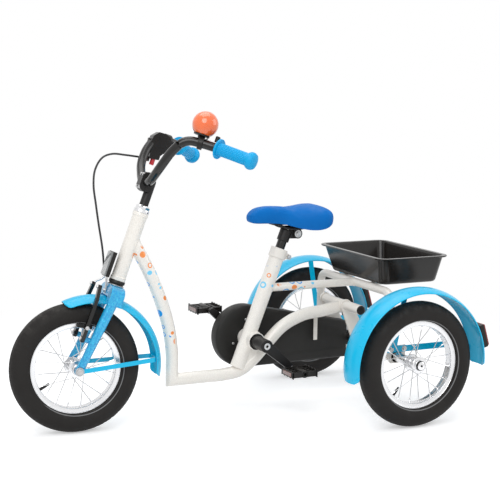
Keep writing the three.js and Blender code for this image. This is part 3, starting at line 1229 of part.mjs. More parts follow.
buildFrame();
buildCarrier();
buildAxleCarrier();
buildRearWheels();
buildRearFender(1, "_left");
buildRearFender(-1, "_right");
buildDrive();
buildCrank(1, "_left", crankAngle);
buildCrank(-1, "_right", crankAngle + Math.PI);
buildSeat();
buildSaddle();
buildHeadset();
buildFork();
buildFrontWheel();
buildFrontFender();
buildFrontReflector();
buildBrakeArm(1, "_left");
buildBrakeArm(-1, "_right");
buildStem();
piece("handlebar", barSolid(), finishes.black, steering);
buildGrip(1, "_left");
buildGrip(-1, "_right");
buildLever();
buildBell();
buildCable();
buildBasket();

// The whole stands on the ground with its bounding box centred.
tricycle.updateMatrixWorld(true);
const extent = new THREE.Box3().setFromObject(tricycle, true);
const middle = extent.getCenter(new THREE.Vector3());
onGround.position.set(-middle.x, -middle.y, -extent.min.z);

export default tricycle;
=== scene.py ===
import json
import math

import bmesh
import bpy
from mathutils import Matrix, Vector

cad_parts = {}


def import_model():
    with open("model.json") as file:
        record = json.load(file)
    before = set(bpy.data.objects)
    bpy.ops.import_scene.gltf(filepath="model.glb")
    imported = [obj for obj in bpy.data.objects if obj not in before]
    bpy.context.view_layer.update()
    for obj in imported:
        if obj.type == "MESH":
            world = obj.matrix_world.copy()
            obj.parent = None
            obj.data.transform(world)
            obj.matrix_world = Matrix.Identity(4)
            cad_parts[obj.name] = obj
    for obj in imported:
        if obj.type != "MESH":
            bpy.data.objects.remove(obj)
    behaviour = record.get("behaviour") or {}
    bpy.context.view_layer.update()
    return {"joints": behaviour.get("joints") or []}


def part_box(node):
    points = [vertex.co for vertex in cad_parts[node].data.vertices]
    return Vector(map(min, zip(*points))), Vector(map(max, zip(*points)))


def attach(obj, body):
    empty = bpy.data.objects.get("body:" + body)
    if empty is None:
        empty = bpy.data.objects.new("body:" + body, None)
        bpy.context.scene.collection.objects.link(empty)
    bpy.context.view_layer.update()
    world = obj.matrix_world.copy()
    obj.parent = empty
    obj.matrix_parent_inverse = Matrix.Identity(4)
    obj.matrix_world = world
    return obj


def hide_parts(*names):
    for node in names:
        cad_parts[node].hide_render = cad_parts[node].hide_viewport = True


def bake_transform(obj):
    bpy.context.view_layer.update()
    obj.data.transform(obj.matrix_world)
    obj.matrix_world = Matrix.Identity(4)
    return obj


# The tricycle's looks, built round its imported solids. Lengths below are in millimetres until a mesh is made.
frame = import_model()

MM = 0.001
# The clearance left between pieces that meet.
GAP = 0.3
SIDES = ((1, "left"), (-1, "right"))
joints = {joint["name"]: joint for joint in frame["joints"]}
ACROSS = Vector((1, 0, 0))
BACK = Vector((0, 1, 0))
UP = Vector((0, 0, 1))


def centre_of(node):
    low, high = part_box(node)
    return (Vector(low) + Vector(high)) / 2 / MM


# The rear axle. Places on the frame are measured to the left of the middle, ahead of this axle, and up from
# the floor.
axle_back = centre_of("drive_axle").y
axle_up = joints["axle_spin"]["pos_m"][2] / MM


def at(left, ahead, up):
    return Vector((left, axle_back - ahead, up))


# Steering axis, from whose foot places on the fork and the bar are measured: left, ahead of it and along it.
steer_foot = Vector(joints["steering"]["pos_m"]) / MM
steer_up = Vector(joints["steering"]["axis"]).normalized()
steer_left = Vector(joints["front_wheel_spin"]["axis"]).normalized()
steer_back = steer_up.cross(steer_left)
STRAIGHT = Matrix.Identity(3)
STEERED = Matrix((steer_left, steer_back, steer_up)).transposed()


def on_fork(left, ahead, along):
    return steer_foot + steer_left * left - steer_back * ahead + steer_up * along


# Shapes are pairs of vertices and faces.
def fan_caps(count, last):
    return [list(range(count))[::-1], [last + i for i in range(count)]]


def loft(rings, closed=False, capped=True):
    count = len(rings[0])
    points = [point for ring in rings for point in ring]
    faces = []
    spans = len(rings) if closed else len(rings) - 1
    for r in range(spans):
        a, b = r * count, (r + 1) % len(rings) * count
        for i in range(count):
            j = (i + 1) % count
            faces.append([a + i, a + j, b + j, b + i])
    if capped and not closed:
        faces += fan_caps(count, (len(rings) - 1) * count)
    return points, faces


def lathe(profile, place, axis, segments=64, closed=True, wave=None):
    """A profile of (radius, distance along the axis), turned round the axis from a place."""
    axis = axis.normalized()
    side = axis.orthogonal().normalized()
    other = axis.cross(side)
    rings = []
    for i in range(segments):
        angle = 2 * math.pi * i / segments
        out = side * math.cos(angle) + other * math.sin(angle)
        ring = []
        for k, (radius, along) in enumerate(profile):
            grown = radius + (wave(k, angle) if wave else 0)
            ring.append(place + out * grown + axis * along)
        rings.append(ring)
    count = len(profile)
    points = [point for ring in rings for point in ring]
    faces = []
    for r in range(segments):
        a, b = r * count, (r + 1) % segments * count
        for i in range(count if closed else count - 1):
            j = (i + 1) % count
            faces.append([a + i, b + i, b + j, a + j])
    return points, faces


def sweep(places, radius, sides=24, outline=None, first_side=None):
    """A tube, or another outline, through places. Each section stands square to the path."""
    radii = radius if isinstance(radius, list) else [radius] * len(places)
    directions = [(b - a).normalized() for a, b in zip(places, places[1:])]
    between = [(a + b).normalized() for a, b in zip(directions, directions[1:])]
    tangents = [directions[0], *between, directions[-1]]
    side = first_side or tangents[0].orthogonal()
    rings = []
    for place, tangent, size in zip(places, tangents, radii):
        side = (side - tangent * side.dot(tangent)).normalized()
        other = tangent.cross(side)
        if outline:
            ring = [place + side * x + other * y for x, y in outline]
        else:
            turns = [2 * math.pi * i / sides for i in range(sides)]
            ring = [place + (side * math.cos(t) + other * math.sin(t)) * size for t in turns]
        rings.append(ring)
    return loft(rings)


def mitred(places, radius, sides=40):
    """A tube whose straight runs meet in sharp mitres."""
    directions = [(b - a).normalized() for a, b in zip(places, places[1:])]
    side = directions[0].orthogonal().normalized()
    other = directions[0].cross(side)
    turns = [2 * math.pi * i / sides for i in range(sides)]
    rings = [[places[0] + (side * math.cos(t) + other * math.sin(t)) * radius for t in turns]]
    for i, along in enumerate(directions):
        beyond = directions[i + 1] if i + 1 < len(directions) else along
        normal = (along + beyond).normalized()
        here = places[i + 1]
        rings.append([p + along * (normal.dot(here - p) / normal.dot(along)) for p in rings[-1]])
    return loft(rings)


def eased(p1, m1, p2, m2, t):
    """Between two values or places, each with its slope, at a share of the way."""
    leaving, slope_leaving = 2 * t**3 - 3 * t**2 + 1, t**3 - 2 * t**2 + t
    reaching, slope_reaching = 3 * t**2 - 2 * t**3, t**3 - t**2
    return p1 * leaving + m1 * slope_leaving + p2 * reaching + m2 * slope_reaching


def curve_through(points, steps=8):
    """A smooth path through points, with a set number of steps between each two."""
    before = points[0] * 2 - points[1]
    after = points[-1] * 2 - points[-2]
    full = [before, *points, after]
    path = []
    for p0, p1, p2, p3 in zip(full, full[1:], full[2:], full[3:]):
        d0, d1, d2 = [max((b - a).length, 1e-6) ** 0.5 for a, b in ((p0, p1), (p1, p2), (p2, p3))]
        m1 = ((p1 - p0) / d0 - (p2 - p0) / (d0 + d1) + (p2 - p1) / d1) * d1
        m2 = ((p2 - p1) / d1 - (p3 - p1) / (d1 + d2) + (p3 - p2) / d2) * d1
        for k in range(steps):
            path.append(eased(p1, m1, p2, m2, k / steps))
    path.append(points[-1])
    return path


def bent(points, bend, steps=8):
    """Straight runs with round bends at the inner points."""
    places = [points[0]]
    for a, b, c in zip(points, points[1:], points[2:]):
        start = b + (a - b).normalized() * min(bend, (a - b).length)
        end = b + (c - b).normalized() * min(bend, (c - b).length)
        for k in range(steps + 1):
            t = k / steps
            places.append(start * (1 - t) ** 2 + b * 2 * t * (1 - t) + end * t**2)
    places.append(points[-1])
    return places


def rod(start, end, radius, end_radius=None, segments=32, edge=0.8):
    """A turned bar with softened ends."""
    last = radius if end_radius is None else end_radius
    length = (end - start).length
    edge = min(edge, length / 4, radius / 2, last / 2)
    profile = [
        (0, 0), (radius - edge, 0), (radius, edge), (last, length - edge), (last - edge, length), (0, length),
    ]
    return lathe(profile, start, end - start, segments, closed=False)


def ring(start, end, outer, inner, segments=48, edge=0.8):
    length = (end - start).length
    profile = [
        (inner, edge), (inner + edge, 0), (outer - edge, 0), (outer, edge),
        (outer, length - edge), (outer - edge, length), (inner + edge, length), (inner, length - edge),
    ]
    return lathe(profile, start, end - start, segments)


def slab(outline, origin, across, upward, depth):
    """An outline of (across, upward), given depth to the side that both leave free."""
    through = across.cross(upward) * depth
    front = [origin + across * x + upward * y for x, y in outline]
    back = [point + through for point in front]
    return loft([front, back])


def upright(outline, left_face, thickness):
    """A plate fore and aft, with its outline in distances ahead and up."""
    return slab(outline, at(left_face, 0, 0), -BACK, UP, thickness)


def on_circle(centre, radius, turn):
    return centre[0] + radius * math.cos(turn), centre[1] + radius * math.sin(turn)


def link(a, radius_a, b, radius_b, steps=12):
    """The outline round two circles and their outer tangents."""
    (ax, ay), (bx, by) = a, b
    heading = math.atan2(by - ay, bx - ax)
    tangent = math.acos((radius_a - radius_b) / math.hypot(bx - ax, by - ay))
    points = []
    for k in range(steps + 1):
        turn = heading + tangent + (2 * math.pi - 2 * tangent) * k / steps
        points.append(on_circle(a, radius_a, turn))
    for k in range(steps + 1):
        turn = heading - tangent + 2 * tangent * k / steps
        points.append(on_circle(b, radius_b, turn))
    return points


def brick(centre, size, axes=STRAIGHT):
    x, y, z = (axes.col[i] * size[i] / 2 for i in range(3))
    low = [centre - x - y - z, centre + x - y - z, centre + x + y - z, centre - x + y - z]
    return loft([low, [point + z * 2 for point in low]])


def bolt(place, axis, radius, height):
    """A hexagon head with a small dome."""
    profile = [(0, 0), (radius, 0), (radius, height * 0.75), (radius * 0.85, height), (0, height)]
    head = lathe(profile, place, axis, 6, closed=False)
    dome = [
        (0, height * 0.9), (radius * 0.5, height * 0.9), (radius * 0.42, height * 1.15), (0, height * 1.25),
    ]
    return head, lathe(dome, place, axis, 24, closed=False)


def zinc_bolt(place, axis, radius, height):
    return [(shape, zinc) for shape in bolt(place, axis, radius, height)]


MERGE = 2e-6
SHARP = math.radians(32)


def make(name, parts, body, nodes=(), bevel=0, centre=None):
    """One object from several shapes, each with its material, riding on a body in place of its solids."""
    points, faces, marks, materials = [], [], [], []
    for shape, material in parts:
        if material not in materials:
            materials.append(material)
        start = len(points)
        points += shape[0]
        faces += [[start + i for i in face] for face in shape[1]]
        marks += [materials.index(material)] * len(shape[1])
    middle = centre or Vector()
    mesh = bpy.data.meshes.new(name)
    mesh.from_pydata([(point - middle) * MM for point in points], [], faces)
    for material in materials:
        mesh.materials.append(material)
    mesh.polygons.foreach_set("material_index", marks)
    obj = bpy.data.objects.new(name.replace(" ", "_"), mesh)
    obj.location = middle * MM
    bpy.context.scene.collection.objects.link(obj)
    work = bmesh.new()
    work.from_mesh(mesh)
    bmesh.ops.remove_doubles(work, verts=work.verts, dist=MERGE)
    bmesh.ops.dissolve_degenerate(work, edges=work.edges, dist=MERGE)
    bmesh.ops.recalc_face_normals(work, faces=work.faces)
    work.to_mesh(mesh)
    work.free()
    mesh.shade_smooth()
    mesh.set_sharp_from_angle(angle=SHARP)
    if bevel:
        rounding = obj.modifiers.new("rounding", "BEVEL")
        rounding.width = bevel * MM
        rounding.segments = 3
        rounding.limit_method = "ANGLE"
        rounding.angle_limit = SHARP
        rounding.harden_normals = True
    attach(obj, body)
    if nodes:
        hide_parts(*nodes)
    return obj


# Finishes. Shared effects are node groups that put out colours, masks and heights.
class Nodes:
    """Short ways to add nodes to a tree."""

    def __init__(self, tree):
        self.tree = tree

    def add(self, kind, settings=None, **inputs):
        node = self.tree.nodes.new(kind)
        for name, value in (settings or {}).items():
            setattr(node, name, value)
        for name, value in inputs.items():
            self.feed(node.inputs[name.replace("_", " ")], value)
        return node

    def shared(self, effect, **inputs):
        return self.add("ShaderNodeGroup", {"node_tree": effect}, **inputs)

    def feed(self, socket, value):
        if isinstance(value, bpy.types.NodeSocket):
            self.tree.links.new(value, socket)
        else:
            socket.default_value = value

    def math(self, operation, a, b=0.0, clamp=False):
        node = self.tree.nodes.new("ShaderNodeMath")
        node.operation = operation
        node.use_clamp = clamp
        self.feed(node.inputs[0], a)
        self.feed(node.inputs[1], b)
        return node.outputs[0]

    def mix(self, share, a, b):
        node = self.tree.nodes.new("ShaderNodeMix")
        node.data_type = "RGBA"
        self.feed(node.inputs["Factor"], share)
        self.feed(node.inputs["A"], a)
        self.feed(node.inputs["B"], b)
        return node.outputs["Result"]

    def noise(self, vector, scale, detail=3.0, rough=0.55):
        node = self.tree.nodes.new("ShaderNodeTexNoise")
        self.feed(node.inputs["Vector"], vector)
        self.feed(node.inputs["Scale"], scale)
        self.feed(node.inputs["Detail"], detail)
        self.feed(node.inputs["Roughness"], rough)
        return node.outputs["Fac"]

    def cells(self, vector, scale, spread=1.0):
        node = self.tree.nodes.new("ShaderNodeTexVoronoi")
        self.feed(node.inputs["Vector"], vector)
        self.feed(node.inputs["Scale"], scale)
        self.feed(node.inputs["Randomness"], spread)
        return node

    def step(self, value, low, high):
        node = self.tree.nodes.new("ShaderNodeMapRange")
        node.interpolation_type = "SMOOTHSTEP"
        self.feed(node.inputs["Value"], value)
        self.feed(node.inputs["From Min"], low)
        self.feed(node.inputs["From Max"], high)
        return node.outputs["Result"]

    def split(self, vector):
        node = self.tree.nodes.new("ShaderNodeSeparateXYZ")
        self.feed(node.inputs[0], vector)
        return node.outputs


def group(name, inputs, outputs):
    tree = bpy.data.node_groups.new(name, "ShaderNodeTree")
    for label, kind, value in inputs:
        socket = tree.interface.new_socket(name=label, in_out="INPUT", socket_type=kind)
        if value is not None:
            socket.default_value = value
    for label, kind in outputs:
        tree.interface.new_socket(name=label, in_out="OUTPUT", socket_type=kind)
    n = Nodes(tree)
    return tree, n, n.add("NodeGroupInput"), n.add("NodeGroupOutput")


COLOR, FLOAT, VECTOR = "NodeSocketColor", "NodeSocketFloat", "NodeSocketVector"
WHITE = (1, 1, 1, 1)


def surface_group():
    """Slow unevenness of colour and gloss, and a fine grain for the height."""
    tree, n, given, out = group(
        "surface_unevenness",
        [
            ("Vector", VECTOR, None), ("Color", COLOR, WHITE), ("Deep Color", COLOR, WHITE),
            ("Scale", FLOAT, 8.0), ("Amount", FLOAT, 0.3), ("Roughness", FLOAT, 0.4),
            ("Roughness Spread", FLOAT, 0.1), ("Grain Scale", FLOAT, 900.0),
        ],
        [("Color", COLOR), ("Roughness", FLOAT), ("Height", FLOAT)],
    )
    slow = n.noise(given.outputs["Vector"], given.outputs["Scale"], 4.0)
    share = n.math("MULTIPLY", n.step(slow, 0.35, 0.7), given.outputs["Amount"])
    n.feed(out.inputs["Color"], n.mix(share, given.outputs["Color"], given.outputs["Deep Color"]))
    quick_noise = n.noise(given.outputs["Vector"], n.math("MULTIPLY", given.outputs["Scale"], 6.0), 5.0)
    swing = n.math("MULTIPLY", n.math("SUBTRACT", quick_noise, 0.5), given.outputs["Roughness Spread"])
    n.feed(out.inputs["Roughness"], n.math("ADD", given.outputs["Roughness"], swing, clamp=True))
    n.feed(out.inputs["Height"], n.noise(given.outputs["Vector"], given.outputs["Grain Scale"], 2.0))
    return tree


def dust_group():
    """A thin veil of dust where a surface looks up, broken by noise."""
    tree, n, given, out = group(
        "settled_dust",
        [
            ("Vector", VECTOR, None), ("Color", COLOR, WHITE),
            ("Dust Color", COLOR, (0.55, 0.52, 0.47, 1)), ("Amount", FLOAT, 0.1),
        ],
        [("Color", COLOR), ("Mask", FLOAT)],
    )
    facing = n.split(n.add("ShaderNodeNewGeometry").outputs["Normal"])[2]
    broken = n.step(n.noise(given.outputs["Vector"], 35.0, 5.0, 0.65), 0.4, 0.75)
    mask = n.math("MULTIPLY", n.math("MULTIPLY", n.step(facing, 0.1, 1.0), broken), given.outputs["Amount"])
    n.feed(out.inputs["Color"], n.mix(mask, given.outputs["Color"], given.outputs["Dust Color"]))
    n.feed(out.inputs["Mask"], mask)
    return tree


def flake_group():
    """Flakes in a paint: each cell is a little lighter or darker and tips the light its own way."""
    tree, n, given, out = group(
        "paint_flakes",
        [
            ("Vector", VECTOR, None), ("Color", COLOR, WHITE), ("Flake Color", COLOR, WHITE),
            ("Scale", FLOAT, 900.0), ("Share", FLOAT, 0.3),
        ],
        [("Color", COLOR), ("Mask", FLOAT), ("Height", FLOAT)],
    )
    cells = n.cells(given.outputs["Vector"], given.outputs["Scale"])
    chance = n.split(cells.outputs["Color"])[0]
    picked = n.step(chance, n.math("SUBTRACT", 1.0, given.outputs["Share"]), 1.0)
    n.feed(out.inputs["Color"], n.mix(picked, given.outputs["Color"], given.outputs["Flake Color"]))
    n.feed(out.inputs["Mask"], picked)
    n.feed(out.inputs["Height"], n.split(cells.outputs["Color"])[1])
    return tree


def bubble_group():
    """A printed pattern of round bubbles in three inks, kept inside a region."""
    tree, n, given, out = group(
        "bubble_print",
        [
            ("Vector", VECTOR, None), ("Color", COLOR, WHITE), ("Ink A", COLOR, WHITE),
            ("Ink B", COLOR, WHITE), ("Ink C", COLOR, WHITE),
            ("Scale", FLOAT, 60.0), ("Radius", FLOAT, 0.3), ("Region", FLOAT, 1.0),
        ],
        [("Color", COLOR), ("Mask", FLOAT)],
    )
    cells = n.cells(given.outputs["Vector"], given.outputs["Scale"], 0.75)
    lot = n.split(cells.outputs["Color"])
    size = n.math("MULTIPLY", given.outputs["Radius"], n.math("ADD", 0.55, n.math("MULTIPLY", lot[1], 0.6)))
    far = cells.outputs["Distance"]
    inside = n.math("SUBTRACT", 1.0, n.step(far, n.math("SUBTRACT", size, 0.03), size))
    outline = n.step(far, n.math("MULTIPLY", size, 0.5), n.math("MULTIPLY", size, 0.62))
    ring_or_full = n.math("MAXIMUM", outline, n.math("GREATER_THAN", lot[2], 0.45))
    mask = n.math("MULTIPLY", n.math("MULTIPLY", inside, ring_or_full), given.outputs["Region"])
    first = n.mix(n.math("GREATER_THAN", lot[0], 0.4), given.outputs["Ink A"], given.outputs["Ink B"])
    ink = n.mix(n.math("GREATER_THAN", lot[0], 0.78), first, given.outputs["Ink C"])
    n.feed(out.inputs["Color"], n.mix(mask, given.outputs["Color"], ink))
    n.feed(out.inputs["Mask"], mask)
    return tree


SURFACE, DUST, FLAKES, BUBBLES = surface_group(), dust_group(), flake_group(), bubble_group()


def paint(
    name, color, deep, roughness=0.4, spread=0.1, metallic=0.0, coat=0.0, coat_roughness=0.05,
    scale=8.0, amount=0.4, grain=900.0, depth=0.02, dust=0.06, specular=0.5, alter=None,
):
    """A material from the shared groups. alter may change the colour on its way, and add to the height."""
    material = bpy.data.materials.new(name)
    material.use_nodes = True
    material.diffuse_color = (*color, 1)
    tree = material.node_tree
    tree.nodes.clear()
    n = Nodes(tree)
    place = n.add("ShaderNodeTexCoord").outputs["Object"]
    surface = n.shared(
        SURFACE, Vector=place, Color=(*color, 1), Deep_Color=(*deep, 1), Scale=scale, Amount=amount,
        Roughness=roughness, Roughness_Spread=spread, Grain_Scale=grain,
    )
    shown, height = surface.outputs["Color"], surface.outputs["Height"]
    rough, metal = surface.outputs["Roughness"], None
    if alter:
        shown, height, rough, metal = alter(n, place, shown, height, rough)
    veil = n.shared(DUST, Vector=place, Color=shown, Amount=dust)
    bump = n.add("ShaderNodeBump", None, Strength=1.0, Distance=depth * MM, Height=height)
    shader = n.add(
        "ShaderNodeBsdfPrincipled", None, Base_Color=veil.outputs["Color"], Roughness=rough,
        Metallic=metallic if metal is None else metal, Normal=bump.outputs["Normal"], Coat_Weight=coat,
        Coat_Roughness=coat_roughness, Specular_IOR_Level=specular,
    )
    out = n.add("ShaderNodeOutputMaterial")
    tree.links.new(shader.outputs["BSDF"], out.inputs["Surface"])
    return material


BUBBLE_BLUE = (0.02, 0.33, 0.78, 1)
BUBBLE_SKY = (0.16, 0.62, 0.9, 1)
BUBBLE_ORANGE = (0.9, 0.27, 0.05, 1)
# Printed stretches in metres: least and most ahead of the axle, then least and most up. They are on the
# down tube and head tube, on the seat tube, and on the upper stay.
PRINTED = ((0.53, 0.64, 0.19, 0.445), (0.24, 0.35, 0.305, 0.375), (0.13, 0.235, 0.306, 0.335))


def in_box(n, place, low, high, soft=0.004):
    """One inside a box of the object's own coordinates, in metres, and nought outside it."""
    inside = 1.0
    for value, a, b in zip(n.split(place), low, high):
        inside = n.math("MULTIPLY", inside, n.step(value, a - soft, a + soft))
        inside = n.math("MULTIPLY", inside, n.math("SUBTRACT", 1.0, n.step(value, b - soft, b + soft)))
    return inside


def frame_print(n, place, shown, height, rough):
    """Pearl flakes all over, and bubbles on the printed stretches."""
    flakes = n.shared(
        FLAKES, Vector=place, Color=shown, Flake_Color=(1, 0.97, 0.9, 1), Scale=1400.0, Share=0.35,
    )
    back = axle_back * MM
    region = 0.0
    for near, far, low, high in PRINTED:
        region = n.math("MAXIMUM", region, in_box(n, place, (-1, back - far, low), (1, back - near, high)))
    bubbles = n.shared(
        BUBBLES, Vector=place, Color=flakes.outputs["Color"], Ink_A=BUBBLE_BLUE, Ink_B=BUBBLE_SKY,
        Ink_C=BUBBLE_ORANGE, Scale=46.0, Radius=0.42, Region=region,
    )
    uneven = n.math("ADD", height, n.math("MULTIPLY", flakes.outputs["Height"], 0.4))
    return bubbles.outputs["Color"], uneven, rough, None


def fork_print(n, place, shown, height, rough):
    """Dense fine glitter."""
    flakes = n.shared(
        FLAKES, Vector=place, Color=shown, Flake_Color=(0.05, 0.62, 0.9, 1), Scale=620.0, Share=0.6,
    )
    metal = n.math("MULTIPLY", flakes.outputs["Mask"], 0.5)
    return flakes.outputs["Color"], n.math("ADD", height, flakes.outputs["Height"]), rough, metal


def tyre_print(n, place, shown, height, rough):
    """A grey reflecting band on each side, and scuffed tread."""
    x, y, z = n.split(place)
    across = n.math("ABSOLUTE", x)
    radius = n.math("SQRT", n.math("ADD", n.math("MULTIPLY", y, y), n.math("MULTIPLY", z, z)))
    band = n.math(
        "MULTIPLY", n.step(radius, 0.1115, 0.1121), n.math("SUBTRACT", 1.0, n.step(radius, 0.1133, 0.1139)),
    )
    band = n.math("MULTIPLY", band, n.step(across, 0.018, 0.019))
    scuff = n.math("MULTIPLY", n.step(radius, 0.1535, 0.157), n.step(n.noise(place, 60.0, 4.0), 0.35, 0.7))
    shown = n.mix(n.math("MULTIPLY", scuff, 0.14), shown, (0.16, 0.15, 0.14, 1))
    return n.mix(band, shown, (0.2, 0.2, 0.2, 1)), height, rough, None


def brushed(n, place, shown, height, rough):
    """Fine turning marks round the axis of a wheel part."""
    lines = n.noise(n.split(place)[0], 2600.0, 2.0)
    return shown, n.math("ADD", height, lines), rough, None


def prisms(scale, low, share, shade):
    """Small square prisms under a clear face, with painted shade darkening the grooves between them."""
    def alter(n, place, shown, height, rough):
        cells = n.cells(place, scale, 0.0)
        lot = n.step(cells.outputs["Distance"], low, 0.6)
        # Painted shade: away from each prism's middle, the lens is mixed towards the shade colour.
        groove_shaded = n.mix(n.math("MULTIPLY", lot, share), shown, shade)
        return groove_shaded, n.math("ADD", height, lot), rough, None

    return alter


# Reflector lenses with painted shade in the grooves between their prisms.
red_prisms = prisms(260.0, 0.2, 0.5, (0.03, 0.0, 0.0, 1))
clear_prisms = prisms(240.0, 0.15, 0.6, (0.14, 0.15, 0.15, 1))
frame_cream = paint(
    "frame_cream", (0.84, 0.8, 0.74), (0.78, 0.73, 0.66), 0.32, 0.06, coat=0.7, depth=0.01, amount=0.35,
    alter=frame_print,
)
plain_cream = paint("plain_cream", (0.84, 0.8, 0.74), (0.76, 0.71, 0.64), 0.34, 0.06, coat=0.6, depth=0.01)
fork_glitter = paint(
    "fork_glitter", (0.0, 0.34, 0.68), (0.0, 0.2, 0.5), 0.26, 0.08, coat=0.6, depth=0.02, amount=0.5,
    alter=fork_print,
)
fender_blue = paint(
    "fender_blue", (0.0, 0.5, 0.8), (0.0, 0.45, 0.74), 0.28, 0.05, coat=0.15, depth=0.006, amount=0.3,
    specular=0.35,
)
black_gloss = paint(
    "black_gloss", (0.007, 0.0065, 0.006), (0.011, 0.01, 0.009), 0.16, 0.06, coat=0.3, depth=0.006,
    specular=0.3,
)
basket_black = paint(
    "basket_black", (0.013, 0.011, 0.0095), (0.017, 0.015, 0.013), 0.2, 0.06, depth=0.01, specular=0.38,
)
case_black = paint(
    "case_black", (0.016, 0.0155, 0.0145), (0.021, 0.02, 0.018), 0.55, 0.1, depth=0.02, grain=1400.0,
    specular=0.25,
)
black_satin = paint(
    "black_satin", (0.011, 0.01, 0.01), (0.018, 0.016, 0.015), 0.4, 0.12, depth=0.02, specular=0.3,
)
black_moulded = paint(
    "black_moulded", (0.01, 0.009, 0.008), (0.015, 0.013, 0.012), 0.3, 0.12, depth=0.03, grain=1500.0,
    dust=0.06, specular=0.3,
)
tyre_black = paint(
    "tyre_black", (0.014, 0.0125, 0.0115), (0.02, 0.018, 0.0165), 0.72, 0.14, depth=0.05, grain=1300.0,
    dust=0.08, specular=0.25, alter=tyre_print,
)
rubber_black = paint(
    "rubber_black", (0.02, 0.02, 0.02), (0.03, 0.028, 0.027), 0.7, 0.1, depth=0.04, specular=0.3,
)
alloy = paint(
    "alloy", (0.8, 0.8, 0.81), (0.64, 0.65, 0.67), 0.24, 0.12, metallic=1.0, depth=0.01, alter=brushed,
)
zinc = paint("zinc", (0.6, 0.6, 0.6), (0.42, 0.42, 0.43), 0.32, 0.18, metallic=1.0, depth=0.02, amount=0.7)
polished = paint("polished", (0.82, 0.82, 0.83), (0.7, 0.7, 0.72), 0.08, 0.05, metallic=1.0, depth=0.004)
grip_blue = paint(
    "grip_blue", (0.0, 0.38, 0.74), (0.0, 0.32, 0.64), 0.45, 0.12, depth=0.05, grain=1200.0, specular=0.3,
)
orange_gloss = paint("orange_gloss", (0.9, 0.16, 0.03), (0.8, 0.1, 0.02), 0.16, 0.05, coat=0.9, depth=0.005)
red_plastic = paint("red_plastic", (0.55, 0.02, 0.03), (0.42, 0.01, 0.02), 0.3, 0.08, depth=0.01)
lens_red = paint(
    "lens_red", (0.42, 0.004, 0.008), (0.24, 0.0, 0.003), 0.2, 0.04, coat=0.2, depth=0.25, dust=0.0,
    alter=red_prisms,
)
lens_pedal = paint(
    "lens_pedal", (0.16, 0.03, 0.015), (0.08, 0.012, 0.008), 0.12, 0.04, coat=1.0, depth=0.25, dust=0.0,
    alter=red_prisms,
)
lens_clear = paint(
    "lens_clear", (0.26, 0.27, 0.27), (0.17, 0.18, 0.18), 0.2, 0.05, coat=1.0, depth=0.3, dust=0.0,
    alter=clear_prisms,
)
cable_black = paint(
    "cable_black", (0.02, 0.02, 0.021), (0.03, 0.03, 0.031), 0.45, 0.1, depth=0.02, specular=0.4,
)
saddle_cover = paint(
    "saddle_cover", (0.0, 0.155, 0.52), (0.0, 0.12, 0.43), 0.5, 0.1, depth=0.05, grain=700.0, amount=0.5,
    specular=0.14,
)


# Frame.
CORNER = (532, 103)
HEAD_LENGTH = 172
CROSS = (50, 262)
CROSS_HALF = 100
TRACK_HALF = 283
HOUSING_RADIUS = 17
HOUSING_END = 197
HOOP_AHEAD = 12
FENDER_BAR_UP = 177
BRACKET_SHELL = (314, 188)
SEAT_FOOT = (353, 118)
SEAT_TOP = (236, 419.3)
POST_DEPTH = 120
STAY_UP = 319
TUBE, STAY, SEAT_TUBE, HOOP, CROSS_TUBE, RAIL = 16, 10.5, 19, 10.5, 12.5, 5
seat_foot, seat_top = at(0, *SEAT_FOOT), at(0, *SEAT_TOP)
seat_up = (seat_top - seat_foot).normalized()


def on_seat_tube(beyond_top):
    return seat_top + seat_up * beyond_top


def route(shares, start, end):
    ahead, up = (end[0] - start[0], end[1] - start[1])
    return [at(0, start[0] + a * ahead, start[1] + b * up) for a, b in shares]


def weld(axis_start, axis_end, main_radius, branch_start, branch_end, branch_radius, bead=1.7, steps=72):
    """A bead of weld where a branch tube meets the side of another tube."""
    along = (axis_end - axis_start).normalized()
    branch = (branch_end - branch_start).normalized()
    side = branch.orthogonal().normalized()
    other = branch.cross(side)
    places = []
    for i in range(steps):
        turn = 2 * math.pi * i / steps
        foot = branch_start + (side * math.cos(turn) + other * math.sin(turn)) * branch_radius
        offset, run = (v - along * v.dot(along) for v in (foot - axis_start, branch))
        a, b, c = run.length_squared, 2 * offset.dot(run), offset.length_squared - main_radius**2
        root = b * b - 4 * a * c
        if root < 0:
            return [], []
        places.append(foot + branch * ((-b + math.sqrt(root)) / (2 * a)))
    rings, turns = [], [k * math.pi / 4 for k in range(8)]
    for i, place in enumerate(places):
        tangent = (places[(i + 1) % steps] - places[i - 1]).normalized()
        size = bead * (1 + 0.12 * math.sin(i * math.pi / 1.5))
        out = (place - branch_start - branch * (place - branch_start).dot(branch)).normalized()
        over = tangent.cross(out).normalized()
        rings.append([place + (out * math.cos(t) + over * math.sin(t)) * size for t in turns])
    return loft(rings, closed=True)


def plug(place, outward, radius, material):
    """The plastic plug in an open tube end."""
    profile = [(0, -2), (radius * 0.97, -2), (radius * 0.97, 0.6), (radius * 0.8, 1.8), (0, 2.2)]
    return lathe(profile, place, outward, 32, closed=False), material


